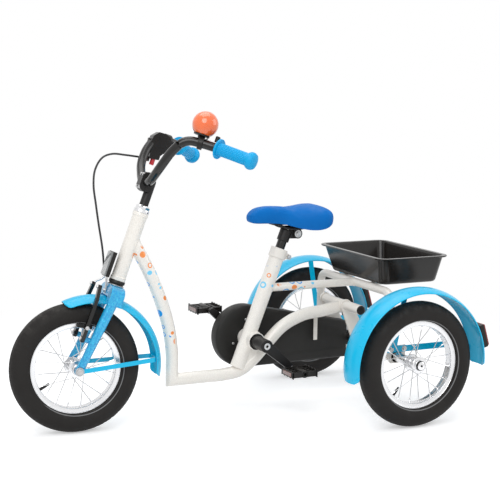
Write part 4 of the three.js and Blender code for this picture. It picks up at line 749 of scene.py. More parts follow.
def main_frame():
    """Head tube, down tube, bent main tube, seat tube, bottom bracket shell, two stays, and their welds."""
    down_top = steer_foot + steer_up * HEAD_LENGTH * 0.61
    down_end = (axle_back - down_top.y, down_top.z)
    down_shares = [
        (1, 1), (0.85, 0.92), (0.63, 0.8), (0.39, 0.645), (0.18, 0.47), (0.055, 0.32), (0, 0.17), (0, 0.1),
    ]
    main_shares = [
        (0.2, 0), (0.29, 0), (0.39, 0.05), (0.47, 0.23), (0.545, 0.47), (0.64, 0.74), (0.76, 0.9),
        (0.88, 0.945), (1, 1),
    ]
    down = curve_through(route(down_shares, CORNER, down_end), 7)
    main_end = (CROSS[0], CROSS[1] - CROSS_TUBE / 2)
    back = curve_through(route(main_shares, CORNER, main_end), 7)
    corner = at(0, *CORNER)
    head_top = steer_foot + steer_up * HEAD_LENGTH
    head_profile = [
        (14.2, 0), (19, 0), (19.4, 1), (19.4, 8), (18, 10), (18, HEAD_LENGTH - 10), (19.4, HEAD_LENGTH - 8),
        (19.4, HEAD_LENGTH - 1), (19, HEAD_LENGTH), (14.2, HEAD_LENGTH),
    ]
    shell_left, shell_right = at(34, *BRACKET_SHELL), at(-34, *BRACKET_SHELL)
    seat_length = (seat_top - seat_foot).length
    seat_profile = [
        (0, 0), (18.4, 0), (19, 0.6), (19, seat_length - 0.6), (18.6, seat_length), (12.4, seat_length),
        (12.2, seat_length - POST_DEPTH), (0, seat_length - POST_DEPTH),
    ]
    stay_front, stay_back = at(0, 275, STAY_UP), at(0, 12, STAY_UP)
    web = [BRACKET_SHELL, SEAT_FOOT]
    web += [(axle_back - p.y, p.z) for p in route(main_shares[2:5], CORNER, main_end)]
    shapes = [
        mitred([*down, corner, *back], TUBE, 56),
        upright(web, 12.5, 25),
        lathe(head_profile, steer_foot, steer_up, 72),
        lathe(seat_profile, seat_foot, seat_up, 64, closed=False),
        ring(shell_left, shell_right, 23, 16.8, 64),
        rod(stay_front, stay_back, STAY, segments=48),
        weld(steer_foot, head_top, 18, down[0], down[2], TUBE),
        weld(seat_foot, seat_top, SEAT_TUBE, stay_front, stay_back, STAY),
        weld(shell_left, shell_right, 23, at(0, *BRACKET_SHELL), seat_top, SEAT_TUBE),
    ]
    nodes = ("main_frame", "lower_stay", "upper_stay")
    make("frame tubes", [(shape, frame_cream) for shape in shapes if shape[0]], "frame", nodes)


def carrier():
    """The hoop across the axle housing, with two short rails under the basket."""
    foot_up = axle_up + HOUSING_RADIUS - 3
    half = 182
    corners = [
        at(half, HOOP_AHEAD, foot_up), at(half, HOOP_AHEAD, STAY_UP),
        at(-half, HOOP_AHEAD, STAY_UP), at(-half, HOOP_AHEAD, foot_up),
    ]
    parts = [(sweep(bent(corners, 34, 12), HOOP, 40), plain_cream)]
    rail_left, rail_length, rail_up = 70, 150, STAY_UP + HOOP - RAIL
    hoop_line = at(-1, HOOP_AHEAD, STAY_UP), at(1, HOOP_AHEAD, STAY_UP), HOOP
    housing_line = at(-1, 0, axle_up), at(1, 0, axle_up), HOUSING_RADIUS
    for side, _ in SIDES:
        start = at(side * rail_left, HOOP_AHEAD, rail_up)
        end = at(side * rail_left, HOOP_AHEAD - rail_length, rail_up)
        foot, top = at(side * half, HOOP_AHEAD, axle_up), at(side * half, HOOP_AHEAD, STAY_UP)
        parts.append((rod(start, end, RAIL, segments=24), plain_cream))
        parts.append((weld(*hoop_line, start, end, RAIL, 1.1), plain_cream))
        parts.append((weld(*housing_line, foot, top, HOOP), plain_cream))
    parts.append((weld(*hoop_line, at(0, 0, STAY_UP), at(0, 60, STAY_UP), STAY), plain_cream))
    make("carrier hoop", [part for part in parts if part[0][0]], "frame", ("carrier_hoop",))


def axle_carrier():
    """The cross tube, two link plates, and the two housing tubes with their end plates."""
    parts = [(ring(at(CROSS_HALF, *CROSS), at(-CROSS_HALF, *CROSS), CROSS_TUBE, 9.6), plain_cream)]
    for side, _ in SIDES:
        parts.append(plug(at(side * CROSS_HALF, *CROSS), ACROSS * side, CROSS_TUBE, black_moulded))
    axle = (0, axle_up)
    for left_face in (26, -86):
        parts.append((upright(link(CROSS, 15.5, axle, 24, 24), left_face, 6), plain_cream))
    lug_top, lug_thickness, radius = 186, 4, HOUSING_RADIUS
    lug = [
        (32, lug_top), (-26, lug_top), (-26, axle_up), (-radius, axle_up - radius),
        (radius, axle_up - radius), (32, axle_up),
    ]
    for near, far in ((20, HOUSING_END), (-86, -HOUSING_END)):
        parts.append((ring(at(near, *axle), at(far, *axle), radius, 8.4, 56), plain_cream))
        outer = far if far > 0 else far + lug_thickness
        parts.append((upright(lug, outer, lug_thickness), plain_cream))
        for bolt_ahead in (18, -20):
            inner_left = math.copysign(HOUSING_END - lug_thickness, far)
            inner_face = Vector((inner_left, 0, 0)) + at(0, bolt_ahead, FENDER_BAR_UP)
            parts.append((bolt(inner_face, ACROSS * math.copysign(-1, far), 6, 4)[0], zinc))
    make("axle carrier", parts, "frame", ("axle_carrier",), bevel=1.2)


def headset_cups():
    lower = [
        (13.4, -13), (17, -13), (17.6, -12), (17.6, -9), (20, -7.5), (20, -1.5), (19.4, -0.4), (13.4, -0.4),
    ]
    parts = [(lathe(lower, steer_foot, steer_up, 64), black_satin)]
    make("lower headset cup", parts, "frame", ("headset_cup_lower",))
    top = steer_foot + steer_up * (HEAD_LENGTH + GAP)
    upper = [
        (13.4, 0), (18.8, 0), (19.5, 0.7), (19.5, 7), (19, 7.8), (17.2, 8), (17.2, 9.2), (16.8, 9.6),
        (16.8, 15), (15, 17), (14.4, 18), (13.4, 18),
    ]
    nut = [(13.4, 10), (18.2, 10), (18.2, 14.6), (17.6, 15.2), (13.4, 15.2)]
    parts = [(lathe(upper, top, steer_up, 64), polished), (lathe(nut, top, steer_up, 8), polished)]
    make("upper headset cup", parts, "frame", ("headset_cup_upper",))


def notched(row, angle):
    """Eight notches for a spanner in the rim of a bearing cup."""
    return -0.9 if row in (2, 3) and math.cos(8 * angle) > 0.6 else 0


def bracket_bearing():
    middle = at(0, *BRACKET_SHELL)
    parts = [(ring(middle + ACROSS * 33.7, middle - ACROSS * 33.7, 16.7, 9.2), zinc)]
    cup = [(9.2, 0), (20.5, 0), (21, 0.5), (21, 2.6), (20.4, 3.2), (16.5, 3.4), (16, 2.2), (9.2, 2.2)]
    for side, _ in SIDES:
        face = middle + ACROSS * side * 33.6
        parts.append((lathe(cup, face - ACROSS * side * 2.4, ACROSS * side, 60, wave=notched), black_satin))
    make("bottom bracket bearing", parts, "frame", ("bottom_bracket_bearing",))


def seat_collar():
    """A split collar with two ears behind it and a bolt through them."""
    start, end = on_seat_tube(-26), on_seat_tube(-GAP)
    parts = [(ring(start, end, 22.4, 19.1, 64, edge=1.4), plain_cream)]
    rearward = ACROSS.cross(seat_up) * -1
    middle = (start + end) / 2
    ear, ear_thickness = link((19, 0), 8, (31, 0), 6.5, 10), 4
    for side, _ in SIDES:
        face = middle + ACROSS * (side * 5.6 - ear_thickness / 2)
        parts.append((slab(ear, face, rearward, seat_up, ear_thickness), plain_cream))
    pin = middle + rearward * 29
    parts.append((rod(pin - ACROSS * 12, pin + ACROSS * 12, 3, segments=24), zinc))
    for side, _ in SIDES:
        parts += zinc_bolt(pin + ACROSS * side * 7.6, ACROSS * side, 6, 5)
    make("seat collar", parts, "frame", ("seat_clamp",), bevel=0.8)


# Wheels.
FORK_OFFSET, AXLE_ALONG = 28.4, -231.3
TYRE_RADIUS, TYRE_HALF = 157.5, 28.5
HUB_OUTER = 21
TREAD_BLOCKS = 46
SPOKES_PER_SIDE = 10
VALVE_TURN = math.radians(50)


def tyre_rings(centre, axis, ahead):
    """The tyre turned round its axle, with rows of tread blocks between grooves."""
    middle = TYRE_RADIUS - TYRE_HALF
    start = math.pi - math.acos((middle - 111.8) / TYRE_HALF)
    spots = 34
    section = [(102.6, 11.5, 0), (106, 12.6, 0), (110.2, 12.4, 0)]
    for i in range(spots + 1):
        angle = start * (1 - 2 * i / spots)
        section.append((middle + TYRE_HALF * math.cos(angle), TYRE_HALF * math.sin(angle), angle))
    section += [(110.2, -12.4, 0), (106, -12.6, 0), (102.6, -11.5, 0)]
    up = axis.cross(ahead)
    per_block = 8
    rings = []
    for s in range(TREAD_BLOCKS * per_block):
        turn = 2 * math.pi * s / (TREAD_BLOCKS * per_block)
        out = ahead * math.cos(turn) + up * math.sin(turn)
        ring_points = []
        for radius, along, angle in section:
            depth = 0
            spread = abs(angle)
            if 0 < spread < 1.0:
                row = int(spread * TYRE_HALF / 6.2)
                edge = spread * TYRE_HALF / 6.2 - row
                shift = (row % 2) * per_block // 2
                if edge < 0.16 and row:
                    depth = 1.1
                elif (s + shift) % per_block == 0:
                    depth = 1.2
            ring_points.append(centre + out * (radius - depth) + axis * along)
        rings.append(ring_points)
    return loft(rings, closed=True)


def rim_shape(centre, axis):
    half = [
        (102.3, 11.6), (109.2, 11.6), (110, 12.2), (110, 14), (109.3, 14.6), (108.2, 14.6), (107.6, 13.9),
        (100.4, 13.3), (98.6, 12.6), (97.2, 10.6), (97, 7), (98.2, 3.2),
    ]
    profile = half + [(radius, -along) for radius, along in reversed(half)]
    return lathe(profile, centre, axis, 144)


def tyre(name, centre, axis, ahead, body, node):
    """The tyre with its valve, which points down and ahead."""
    up = axis.cross(ahead)
    below = up if up.z < 0 else -up
    valve_out = ahead * math.cos(VALVE_TURN) + below * math.sin(VALVE_TURN)
    stem_profile = [(0, 32), (3.4, 26), (3.4, 8), (2.9, 6.5), (2.9, 0), (2.4, -0.8), (0, -0.8)]
    stem_shape = lathe(stem_profile, centre + valve_out * 72.6, valve_out, 24, closed=False)
    parts = [(tyre_rings(centre, axis, ahead), tyre_black), (stem_shape, rubber_black)]
    make(f"{name} tyre", parts, body, (node,), centre=centre)


def spoke(number, side, centre, axis, ahead, flange_at):
    """A spoke: its wire, the nipple in the rim, and the elbow through the flange."""
    up = axis.cross(ahead)
    rim_turn = (number + side / 4) * 2 * math.pi / SPOKES_PER_SIDE
    hub_turn = rim_turn + math.radians(62 if number % 2 else -62)
    face = 1.6 if number % 2 else -1.6
    at_hub = (ahead * math.cos(hub_turn) + up * math.sin(hub_turn)) * 18
    at_rim = (ahead * math.cos(rim_turn) + up * math.sin(rim_turn)) * 99
    near = centre + axis * (side * (flange_at + face)) + at_hub
    far = centre + axis * (side * 3) + at_rim
    along = (far - near).normalized()
    elbow = near - axis * side * face
    return [
        (rod(near, far, 1, segments=8, edge=0.2), zinc),
        (rod(far - along * 12, far, 1.7, segments=10, edge=0.3), polished),
        (rod(elbow - axis * side * face, near, 1.4, segments=8, edge=0.3), zinc),
    ]


def hub(name, centre, axis, ahead, inner, outer, flange_at, body, node, bore):
    """A turned shell with two flanges, and the spokes that they carry."""
    shell = [
        (bore, -inner), (11.4, -inner), (12, -inner + 0.6), (12, -flange_at - 4), (13.4, -flange_at - 2),
        (20.4, -flange_at - 1.5), (21, -flange_at - 0.9), (21, -flange_at + 0.9), (20.4, -flange_at + 1.5),
        (14, -flange_at + 2), (11.2, -flange_at + 6), (11.2, flange_at - 6), (14, flange_at - 2),
        (20.4, flange_at - 1.5), (21, flange_at - 0.9), (21, flange_at + 0.9), (20.4, flange_at + 1.5),
        (13.4, flange_at + 2), (12, flange_at + 4), (12, outer - 0.6), (11.4, outer), (bore, outer),
    ]
    parts = [(lathe(shell, centre, axis, 64), alloy)]
    for side, _ in SIDES:
        for number in range(SPOKES_PER_SIDE):
            parts += spoke(number, side, centre, axis, ahead, flange_at)
    make(f"{name} hub", parts, body, (node,), centre=centre)


def wheel(name, centre, axis, ahead, inner, outer, flange_at, body, nodes, bore):
    """A tyre, a rim and a laced hub."""
    tyre_node, rim_node, hub_node = nodes
    tyre(name, centre, axis, ahead, body, tyre_node)
    make(f"{name} rim", [(rim_shape(centre, axis), alloy)], body, (rim_node,), centre=centre)
    hub(name, centre, axis, ahead, inner, outer, flange_at, body, hub_node, bore)


def wheels():
    front_nodes = ("front_tyre", "front_rim", "front_hub")
    front_centre = on_fork(0, FORK_OFFSET, AXLE_ALONG)
    wheel("front", front_centre, steer_left, -steer_back, 42, 42, 27, "front_wheel", front_nodes, 5.1)
    for (side, name), body in zip(SIDES, ("rear_wheel_left", "drive_axle")):
        nodes = tuple(f"rear_{piece}_{name}" for piece in ("tyre", "rim", "hub"))
        centre = at(side * TRACK_HALF, 0, axle_up)
        wheel(f"rear {name}", centre, ACROSS * side, -BACK, 78, HUB_OUTER, 18, body, nodes, 8.3)


def drive_axle():
    """The rear axle with a round head on the right, and the cap over its left end."""
    axle_end = TRACK_HALF + HUB_OUTER + GAP
    start, end = at(-axle_end - 3, 0, axle_up), at(axle_end, 0, axle_up)
    head = [(0, 0), (11.5, 0), (12.5, 1), (12.5, 5.4), (11, 7), (6, 7), (5.4, 5.6), (0, 5.6)]
    head_shape = lathe(head, at(-axle_end, 0, axle_up), -ACROSS, 48, closed=False)
    parts = [(rod(start, end, 8), zinc), (head_shape, black_satin)]
    make("drive axle", parts, "drive_axle", ("drive_axle",))
    cap = [(0, 0), (12, 0), (12.5, 0.6), (12.5, 3.2), (11.6, 5), (8, 6.6), (0, 7)]
    disc = [(3, 5), (10.2, 5), (10.6, 5.4), (10.2, 6.2), (8, 7.4), (3.6, 7.8), (3, 7.4)]
    parts = [(lathe(cap, end + ACROSS * GAP, ACROSS, 48, closed=False), black_gloss)]
    parts.append((lathe(disc, end + ACROSS * GAP, ACROSS, 48), polished))
    make("hub cap", parts, "drive_axle", ("hub_cap_left",))


# Fenders.
FENDER_SIZES = ("outer", "half", "crown", "thickness", "start", "end")
REAR_FENDER = {"outer": 192, "half": 36, "crown": 9, "thickness": 2.4, "start": -9, "end": 185}


def fender_rings(centre, left, ahead, up, outer, half, crown, thickness, start, end, steps=84, corner=15):
    """Sections round the wheel: a crowned outside, a rolled edge on each side, and the inside."""
    outside, inside = [], []
    for s in range(steps + 1):
        turn = math.radians(start + (end - start) * s / steps)
        out = ahead * math.cos(turn) + up * math.sin(turn)
        from_end = min(s, steps - s) * math.radians(end - start) / steps * outer
        narrow = corner - math.sqrt(corner**2 - max(corner - from_end, 0) ** 2)
        width = half - narrow
        shares = [i / 9 - 1 for i in range(19)]
        top = [(share * width, -crown * (share * width / half) ** 2) for share in shares]
        edge_drop = top[-1][1]
        roll = [
            (width + 0.9, edge_drop - 0.9), (width + 0.9, edge_drop - 2.3), (width - 0.2, edge_drop - 3.2),
            (width - 1.8, edge_drop - thickness - 0.4),
        ]
        left_roll = [(-x, y) for x, y in reversed(roll)]
        inner = [share * (width - 2) for share in reversed(shares)]
        under = [(x, -crown * (x / half) ** 2 - thickness) for x in inner]
        lining = [roll[-1], *under, left_roll[0]]
        outside.append([centre + left * x + out * (outer + y) for x, y in left_roll + top + roll])
        inside.append([centre + left * x + out * (outer + y) for x, y in lining])
    return outside, inside


def open_sheet(rings):
    """Faces between rings that don't close on themselves."""
    count = len(rings[0])
    points = [point for one in rings for point in one]
    faces = []
    for r in range(len(rings) - 1):
        for i in range(count - 1):
            a, b = r * count + i, (r + 1) * count + i
            faces.append([a, a + 1, b + 1, b])
    return points, faces


def fender_parts(outside, inside):
    """The outside, the inside, and a face across each end."""
    shapes = [open_sheet(outside), open_sheet(inside)]
    for index in (0, -1):
        edge = [*outside[index], *inside[index][1:-1]]
        shapes.append((edge, [list(range(len(edge)))]))
    return [(shape, fender_blue) for shape in shapes]


def bent_strip(places, width_way, width, thickness, material):
    """A flat strip bent along places. Its width lies along one direction."""
    outline = [
        (-width / 2, -thickness / 2), (width / 2, -thickness / 2), (width / 2, thickness / 2),
        (-width / 2, thickness / 2),
    ]
    return sweep(places, 1, outline=outline, first_side=width_way), material


def rear_fender(side, name):
    """The fender, its flat bar bolted to the housing's end plate, and a leaning post."""
    outer, half, crown, thickness = (REAR_FENDER[key] for key in ("outer", "half", "crown", "thickness"))
    centre = at(side * TRACK_HALF, 0, axle_up)
    sizes = [REAR_FENDER[key] for key in FENDER_SIZES]
    parts = fender_parts(*fender_rings(centre, ACROSS, -BACK, UP, *sizes))
    edge = outer - crown - thickness / 2
    strap = side * (HOUSING_END + GAP + 1.5)
    wall = side * (TRACK_HALF - half + 8)
    post_ahead = 10
    back_end = -math.sqrt(edge**2 - (FENDER_BAR_UP - axle_up) ** 2)
    post_top = axle_up + math.sqrt(edge**2 - post_ahead**2)
    bar = [
        at(strap, 28, FENDER_BAR_UP), at(strap, back_end + 1.5, FENDER_BAR_UP),
        at(wall, back_end + 1.5, FENDER_BAR_UP),
    ]
    post = [at(strap, post_ahead, FENDER_BAR_UP), at(side * (TRACK_HALF - half + 2), post_ahead, post_top)]
    parts.append(bent_strip(bent(bar, 7, 6), UP, 16, 3, fender_blue))
    parts.append(bent_strip(post, BACK, 14, 3, fender_blue))
    for ahead in (18, -20):
        parts += zinc_bolt(at(side * 200.3, ahead, FENDER_BAR_UP), ACROSS * side, 5.4, 4)
        near, far = at(side * 200.2, ahead, FENDER_BAR_UP), at(side * 201.3, ahead, FENDER_BAR_UP)
        parts.append((ring(near, far, 7.4, 3, 32, 0.3), zinc))
    parts += zinc_bolt(at(wall - side * 4, back_end + 4, FENDER_BAR_UP), -BACK, 4.4, 3)
    make(f"rear fender {name}", parts, "frame", (f"rear_fender_{name}",), bevel=0.5)


def rear_reflector(side, name):
    centre = at(side * TRACK_HALF, 0, axle_up)
    turn = math.radians(163)
    out = -BACK * math.cos(turn) + UP * math.sin(turn)
    axes = Matrix((ACROSS, out, out.cross(ACROSS))).transposed()
    place = centre + out * (REAR_FENDER["outer"] + 8.5)
    parts = [(brick(place - out * 2.2, (42, 12.4, 60), axes), black_moulded)]
    parts.append((brick(place + out * 6, (38, 5, 56), axes), lens_red))
    make(f"rear reflector {name}", parts, "frame", (f"rear_reflector_{name}",), bevel=1.6)


# Drive.
PITCH = 12.7
CHAIN_LINE = -54
FRONT_PITCH_RADIUS = 36 * PITCH / (2 * math.pi)
REAR_PITCH_RADIUS = 16 * PITCH / (2 * math.pi)


def chain_places():
    """Pins of the chain, evenly spaced round both gears, as (ahead, up)."""
    (ax, ay), (bx, by) = BRACKET_SHELL, (0, axle_up)
    heading = math.atan2(by - ay, bx - ax)
    apart = math.hypot(bx - ax, by - ay)
    tangent = math.acos((FRONT_PITCH_RADIUS - REAR_PITCH_RADIUS) / apart)
    straight = math.sqrt(apart**2 - (FRONT_PITCH_RADIUS - REAR_PITCH_RADIUS) ** 2)
    big_turn, small_turn = 2 * math.pi - 2 * tangent, 2 * tangent
    lengths = [big_turn * FRONT_PITCH_RADIUS, straight, small_turn * REAR_PITCH_RADIUS, straight]
    whole = sum(lengths)
    count = 2 * round(whole / PITCH / 2)
    big, small = (BRACKET_SHELL, FRONT_PITCH_RADIUS), ((0, axle_up), REAR_PITCH_RADIUS)
    places = []
    for i in range(count):
        run = whole * i / count
        if run < lengths[0]:
            places.append(on_circle(*big, heading + tangent + run / FRONT_PITCH_RADIUS))
            continue
        run -= lengths[0]
        if run < straight:
            a, b = on_circle(*big, heading - tangent), on_circle(*small, heading - tangent)
        elif run < straight + lengths[2]:
            places.append(on_circle(*small, heading - tangent + (run - straight) / REAR_PITCH_RADIUS))
            continue
        else:
            run -= straight + lengths[2]
            a, b = on_circle(*small, heading + tangent), on_circle(*big, heading + tangent)
        share = run / straight
        places.append((a[0] + (b[0] - a[0]) * share, a[1] + (b[1] - a[1]) * share))
    return places


def chain_shape():
    places = chain_places()
    parts = []
    for i, a in enumerate(places):
        b = places[(i + 1) % len(places)]
        middle = ((a[0] + b[0]) / 2, (a[1] + b[1]) / 2)
        near, far = link(a, 3.9, middle, 2.9, 8), link(middle, 2.9, b, 3.9, 8)
        outline = near[:9] + far[9:]
        out = 3.4 if i % 2 else 2.3
        for face in (out, -out + 1):
            parts.append((upright(outline, CHAIN_LINE + face, 1), zinc))
        pin = rod(at(CHAIN_LINE + 3.6, *a), at(CHAIN_LINE - 3.6, *a), 1.8, segments=12, edge=0.3)
        parts.append((pin, polished))
    return parts


def gear(centre, teeth, radius, body_radius):
    """A toothed plate with softened valleys."""
    outline = []
    for i in range(teeth):
        for share, reach in (
            (-0.34, -3.3), (-0.2, 0.5), (-0.1, 3.2), (0.1, 3.2), (0.2, 0.5), (0.34, -3.3), (0.5, -4.3),
        ):
            turn = 2 * math.pi * (i + share) / teeth
            outline.append(on_circle(centre, radius + reach, turn))
    body = ring(at(CHAIN_LINE + 2.4, *centre), at(CHAIN_LINE - 2.4, *centre), body_radius, 8.5, 64)
    return [(upright(outline, CHAIN_LINE + 1.3, 2.6), zinc), (body, zinc)]


def drive():
    make("chain", chain_shape(), "frame", ("chain",))
    make("chainring", gear(BRACKET_SHELL, 36, FRONT_PITCH_RADIUS, 30), "cranks", ("chainring",))
    axle = (0, axle_up)
    parts = gear(axle, 16, REAR_PITCH_RADIUS, 22)
    parts.append((ring(at(CHAIN_LINE + 15, *axle), at(CHAIN_LINE - 15, *axle), 19, 8.2, 48), black_satin))
    for turn in (40, 220):
        t = math.radians(turn)
        out = -BACK * math.cos(t) + UP * math.sin(t)
        parts += zinc_bolt(at(CHAIN_LINE + 10, *axle) + out * 18.6, out, 3, 2)
    make("rear sprocket", parts, "drive_axle", ("rear_sprocket",))


def chain_case():
    """A moulded case with rounded edges, open at the back, with its collars, small bolts and strap."""
    near, depth, cut = -34.3, 40, 13
    rings = []
    for inset, across in (
        (26, 0.6), (24.6, 0), (12, 0), (7, 0.3), (3, 1.6), (1, 3.8), (0, 7), (0, depth - 7), (1, depth - 3.8),
        (3, depth - 1.6), (7, depth - 0.3), (12, depth), (24.6, depth), (26, depth - 0.6),
    ):
        outline = link(BRACKET_SHELL, 82 - inset, (8, axle_up), 50 - inset, 40)
        rings.append([at(near - across, max(ahead, cut), up) for ahead, up in outline])
    points, faces = loft(rings)
    kept = [face for face in faces if any(axle_back - points[i].y > cut + 0.01 for i in face)]
    obj = make("chain case", [((points, kept), case_black)], "frame", ("chain_case",))
    wall = obj.modifiers.new("wall", "SOLIDIFY")
    wall.thickness = 2 * MM
    wall.offset = -1
    for across, name in ((-34.1, "inner"), (-74.3, "outer")):
        collar = ring(at(across, *BRACKET_SHELL), at(across - 0.9, *BRACKET_SHELL), 20, 11, 64, 0.4)
        make(f"chain case collar {name}", [(collar, case_black)], "frame", ())
    bolts = []
    for ahead, up in ((349, 173), (314, 233.5)):
        bolts += zinc_bolt(at(near, ahead, up), ACROSS, 3.4, 2)
    strap = bent([at(-8, 110, 231), at(-31.5, 110, 231), at(-31.5, 110, 163)], 5, 6)
    bolts.append(bent_strip(strap, BACK, 11, 2.4, plain_cream))
    make("chain case fixings", bolts, "frame", (), bevel=0.3)


def cranks():
    left, right = at(92, *BRACKET_SHELL), at(-92, *BRACKET_SHELL)
    make("crank spindle", [(rod(left, right, 8.4), zinc)], "cranks", ("crank_spindle",))
    for side, name in SIDES:
        box_middle = centre_of(f"pedal_{name}")
        pin = (axle_back - box_middle.y, box_middle.z)
        crank(side, name, pin)
        pedal(name, side, pin)


def crank(side, name, pin):
    """An arm with its boss round the spindle, its bolt and the pedal's pin."""
    reach, thickness, boss_start = 94, 12, 34 if side > 0 else 74.3
    outer = reach if side > 0 else thickness - reach
    centre = at(side * reach, *BRACKET_SHELL)
    parts = [(upright(link(BRACKET_SHELL, 14, pin, 8.5, 20), outer, thickness), black_satin)]
    washer = [(3.4, -1), (8.6, -1), (8.6, 0.8), (7.6, 1.6), (4.6, 1.6), (3.4, 0.6)]
    parts.append((lathe(washer, centre, ACROSS * side, 40), zinc))
    screw = [(0, -1), (3.6, -1), (3.6, 0.4), (0, 0.4)]
    parts.append((lathe(screw, centre, ACROSS * side, 24, closed=False), black_satin))
    boss_from = at(side * boss_start + side * 1.5, *BRACKET_SHELL)
    parts.append((ring(boss_from, centre - ACROSS * side * GAP, 16.4, 8.7, 64, 1.2), black_satin))
    parts.append((rod(at(side * 93, *pin), at(side * 163, *pin), 5.5), zinc))
    parts += zinc_bolt(at(side * reach, *pin), ACROSS * side, 8, 4)
    make(f"crank {name}", parts, "cranks", (f"crank_{name}",), bevel=3)


def pedal(name, side, pin):
    """A moulded platform: toothed front and back plates, side walls, a barrel and cross ribs."""
    inner_face, width, length, height, wall = 101, 62, 70, 20, 4
    middle = side * (inner_face + width / 2)
    toothed = []
    for i in range(9):
        toothed.append(((i / 8 - 0.5) * width, height / 2 - (3 if i % 2 else 0)))
    outline = toothed + [(x, -y) for x, y in reversed(toothed)]
    parts = []
    for end in (1, -1):
        origin = at(middle, pin[0] + end * (length - wall) / 2 + wall / 2, pin[1])
        parts.append((slab(outline, origin, -ACROSS, UP, wall), black_moulded))
        side_wall = at(middle + end * (width - wall) / 2, *pin)
        parts.append((brick(side_wall, (wall, length, height - 6)), black_moulded))
        lens_place = at(middle, pin[0] + end * (length / 2 + 0.3), pin[1])
        parts.append((brick(lens_place, (44, 1.4, 10)), lens_pedal))
        rail = at(middle, pin[0] + end * 19, pin[1])
        parts.append((brick(rail, (width - 4, 3, height - 8)), black_moulded))
    for share in (-0.25, 0, 0.25):
        parts.append((brick(at(middle + share * width, *pin), (3, length - 4, height - 9)), black_moulded))
    parts.append((brick(at(middle, *pin), (width - 3, length - 3, 3.6)), black_moulded))
    barrel = [(5.8, -31), (9, -31), (9.5, -30), (9.5, 28), (8.5, 31), (5.8, 31)]
    parts.append((lathe(barrel, at(middle, *pin), ACROSS * side, 40), black_moulded))
    make(f"pedal {name}", parts, f"pedal_{name}", (f"pedal_{name}",), bevel=0.8)


# Seat.
TILT = (190, 456)
RAIL_UP, BASE_UP, POST_RISE = 471, 485, 51
# Stations of the saddle from nose to tail: share of the length, share of the half width, then how high
# the top and the skirt stand, as shares of the height from the lowest skirt to the crown.
SADDLE_RINGS = [
    (0, 0.16, 0.66, 0.5), (0.03, 0.24, 0.8, 0.42), (0.1, 0.28, 0.94, 0.38), (0.22, 0.3, 1, 0.36),
    (0.36, 0.35, 0.98, 0.31), (0.48, 0.46, 0.935, 0.2), (0.58, 0.62, 0.945, 0.08), (0.68, 0.8, 0.98, 0),
    (0.78, 0.94, 1, 0), (0.87, 1, 0.985, 0.1), (0.94, 0.92, 0.9, 0.27), (0.985, 0.72, 0.74, 0.42),
    (1, 0.5, 0.62, 0.49),
]
SADDLE_NOSE, SADDLE_LENGTH, SADDLE_HALF = 328, 222, 75
SADDLE_TOP, SADDLE_SEAT, SADDLE_SKIRT = 529.5, 486.5, 460


def along_saddle(share):
    return SADDLE_NOSE - share * SADDLE_LENGTH


def seat_post():
    start = on_seat_tube(-POST_DEPTH)
    length = (on_seat_tube(POST_RISE) - start).length
    profile = [(0, 0), (11.4, 0), (12, 0.6), (12, length - 1), (11.2, length), (0, length)]
    parts = [(lathe(profile, start, seat_up, 48, closed=False), black_gloss)]
    make("seat post", parts, "seat_post", ("seat_post",))


def saddle_clamp():
    """A sleeve on the post, a web up to the tilt pin, and the pin."""
    low, high = on_seat_tube(POST_RISE - 31), on_seat_tube(POST_RISE - GAP)
    middle = (low + high) / 2
    sleeve_place = (axle_back - middle.y, middle.z)
    parts = [(ring(low, high, 15.5, 12.1, 56, 1.2), black_satin)]
    parts.append((upright(link(sleeve_place, 7.75, TILT, 12.5, 20), 8, 16), black_satin))
    parts.append((rod(at(12.6, *TILT), at(-12.6, *TILT), 4), zinc))
    make("saddle clamp", parts, "seat_post", ("saddle_clamp",), bevel=1)


def saddle_rail(side):
    """One rail under the saddle, from nose to tail, with its cheek plate, clip and bolt."""
    left = side * 21
    path = [
        at(side * 14, along_saddle(0.36), BASE_UP - 2), at(left, along_saddle(0.44), RAIL_UP),
        at(left, along_saddle(0.56), RAIL_UP), at(left, along_saddle(0.72), RAIL_UP),
        at(left, along_saddle(0.8), BASE_UP - 2),
    ]
    cheek = link(TILT, 12.5, (TILT[0], RAIL_UP), 5, 16)
    parts = [(sweep(bent(path, 22, 8), 3.5, 20), black_satin)]
    parts.append((upright(cheek, 12.3 if side > 0 else -8.3, 4), black_satin))
    parts.append((brick(at(side * 13.5, TILT[0], RAIL_UP), (12, 16, 7)), black_satin))
    parts += zinc_bolt(at(side * 12.3, *TILT), ACROSS * side, 7, 5)
    parts.append((ring(at(side * 12.2, *TILT), at(side * 13.4, *TILT), 9.6, 4, 32, 0.3), zinc))
    return parts


def saddle_base():
    parts = saddle_rail(1) + saddle_rail(-1)
    shares = ((0.3, 0.18), (0.42, 0.2), (0.5, 0.29), (0.6, 0.42), (0.7, 0.57), (0.78, 0.68), (0.88, 0.64))
    low, high = 481.2, 485.6
    under = []
    for length_share, width_share in shares:
        ahead, half = along_saddle(length_share), width_share * SADDLE_HALF
        corners = ((half, low), (half, high), (-half, high), (-half, low))
        under.append([at(left, ahead, up) for left, up in corners])
    parts.append((loft(under), black_moulded))
    make("saddle base", parts, "saddle", ("saddle_base",), bevel=0.8)


def slope(rows, j, k, at_end):
    """How fast a column of rows grows at one row. An end row takes the slope that it is given."""
    if not 0 < j < len(rows) - 1:
        return at_end
    return (rows[j + 1][k] - rows[j - 1][k]) / (rows[j + 1][0] - rows[j - 1][0])


def blended(rows, t):
    """The row between rows at a share of the first value, by smooth interpolation."""
    for i in range(len(rows) - 1):
        if rows[i][0] <= t <= rows[i + 1][0]:
            break
    span = rows[i + 1][0] - rows[i][0]
    u = (t - rows[i][0]) / span
    result = [t]
    for k in range(1, len(rows[0])):
        p1, p2 = rows[i][k], rows[i + 1][k]
        m1, m2 = (slope(rows, j, k, (p2 - p1) / span) * span for j in (i, i + 1))
        result.append(eased(p1, m1, p2, m2, u))
    return result


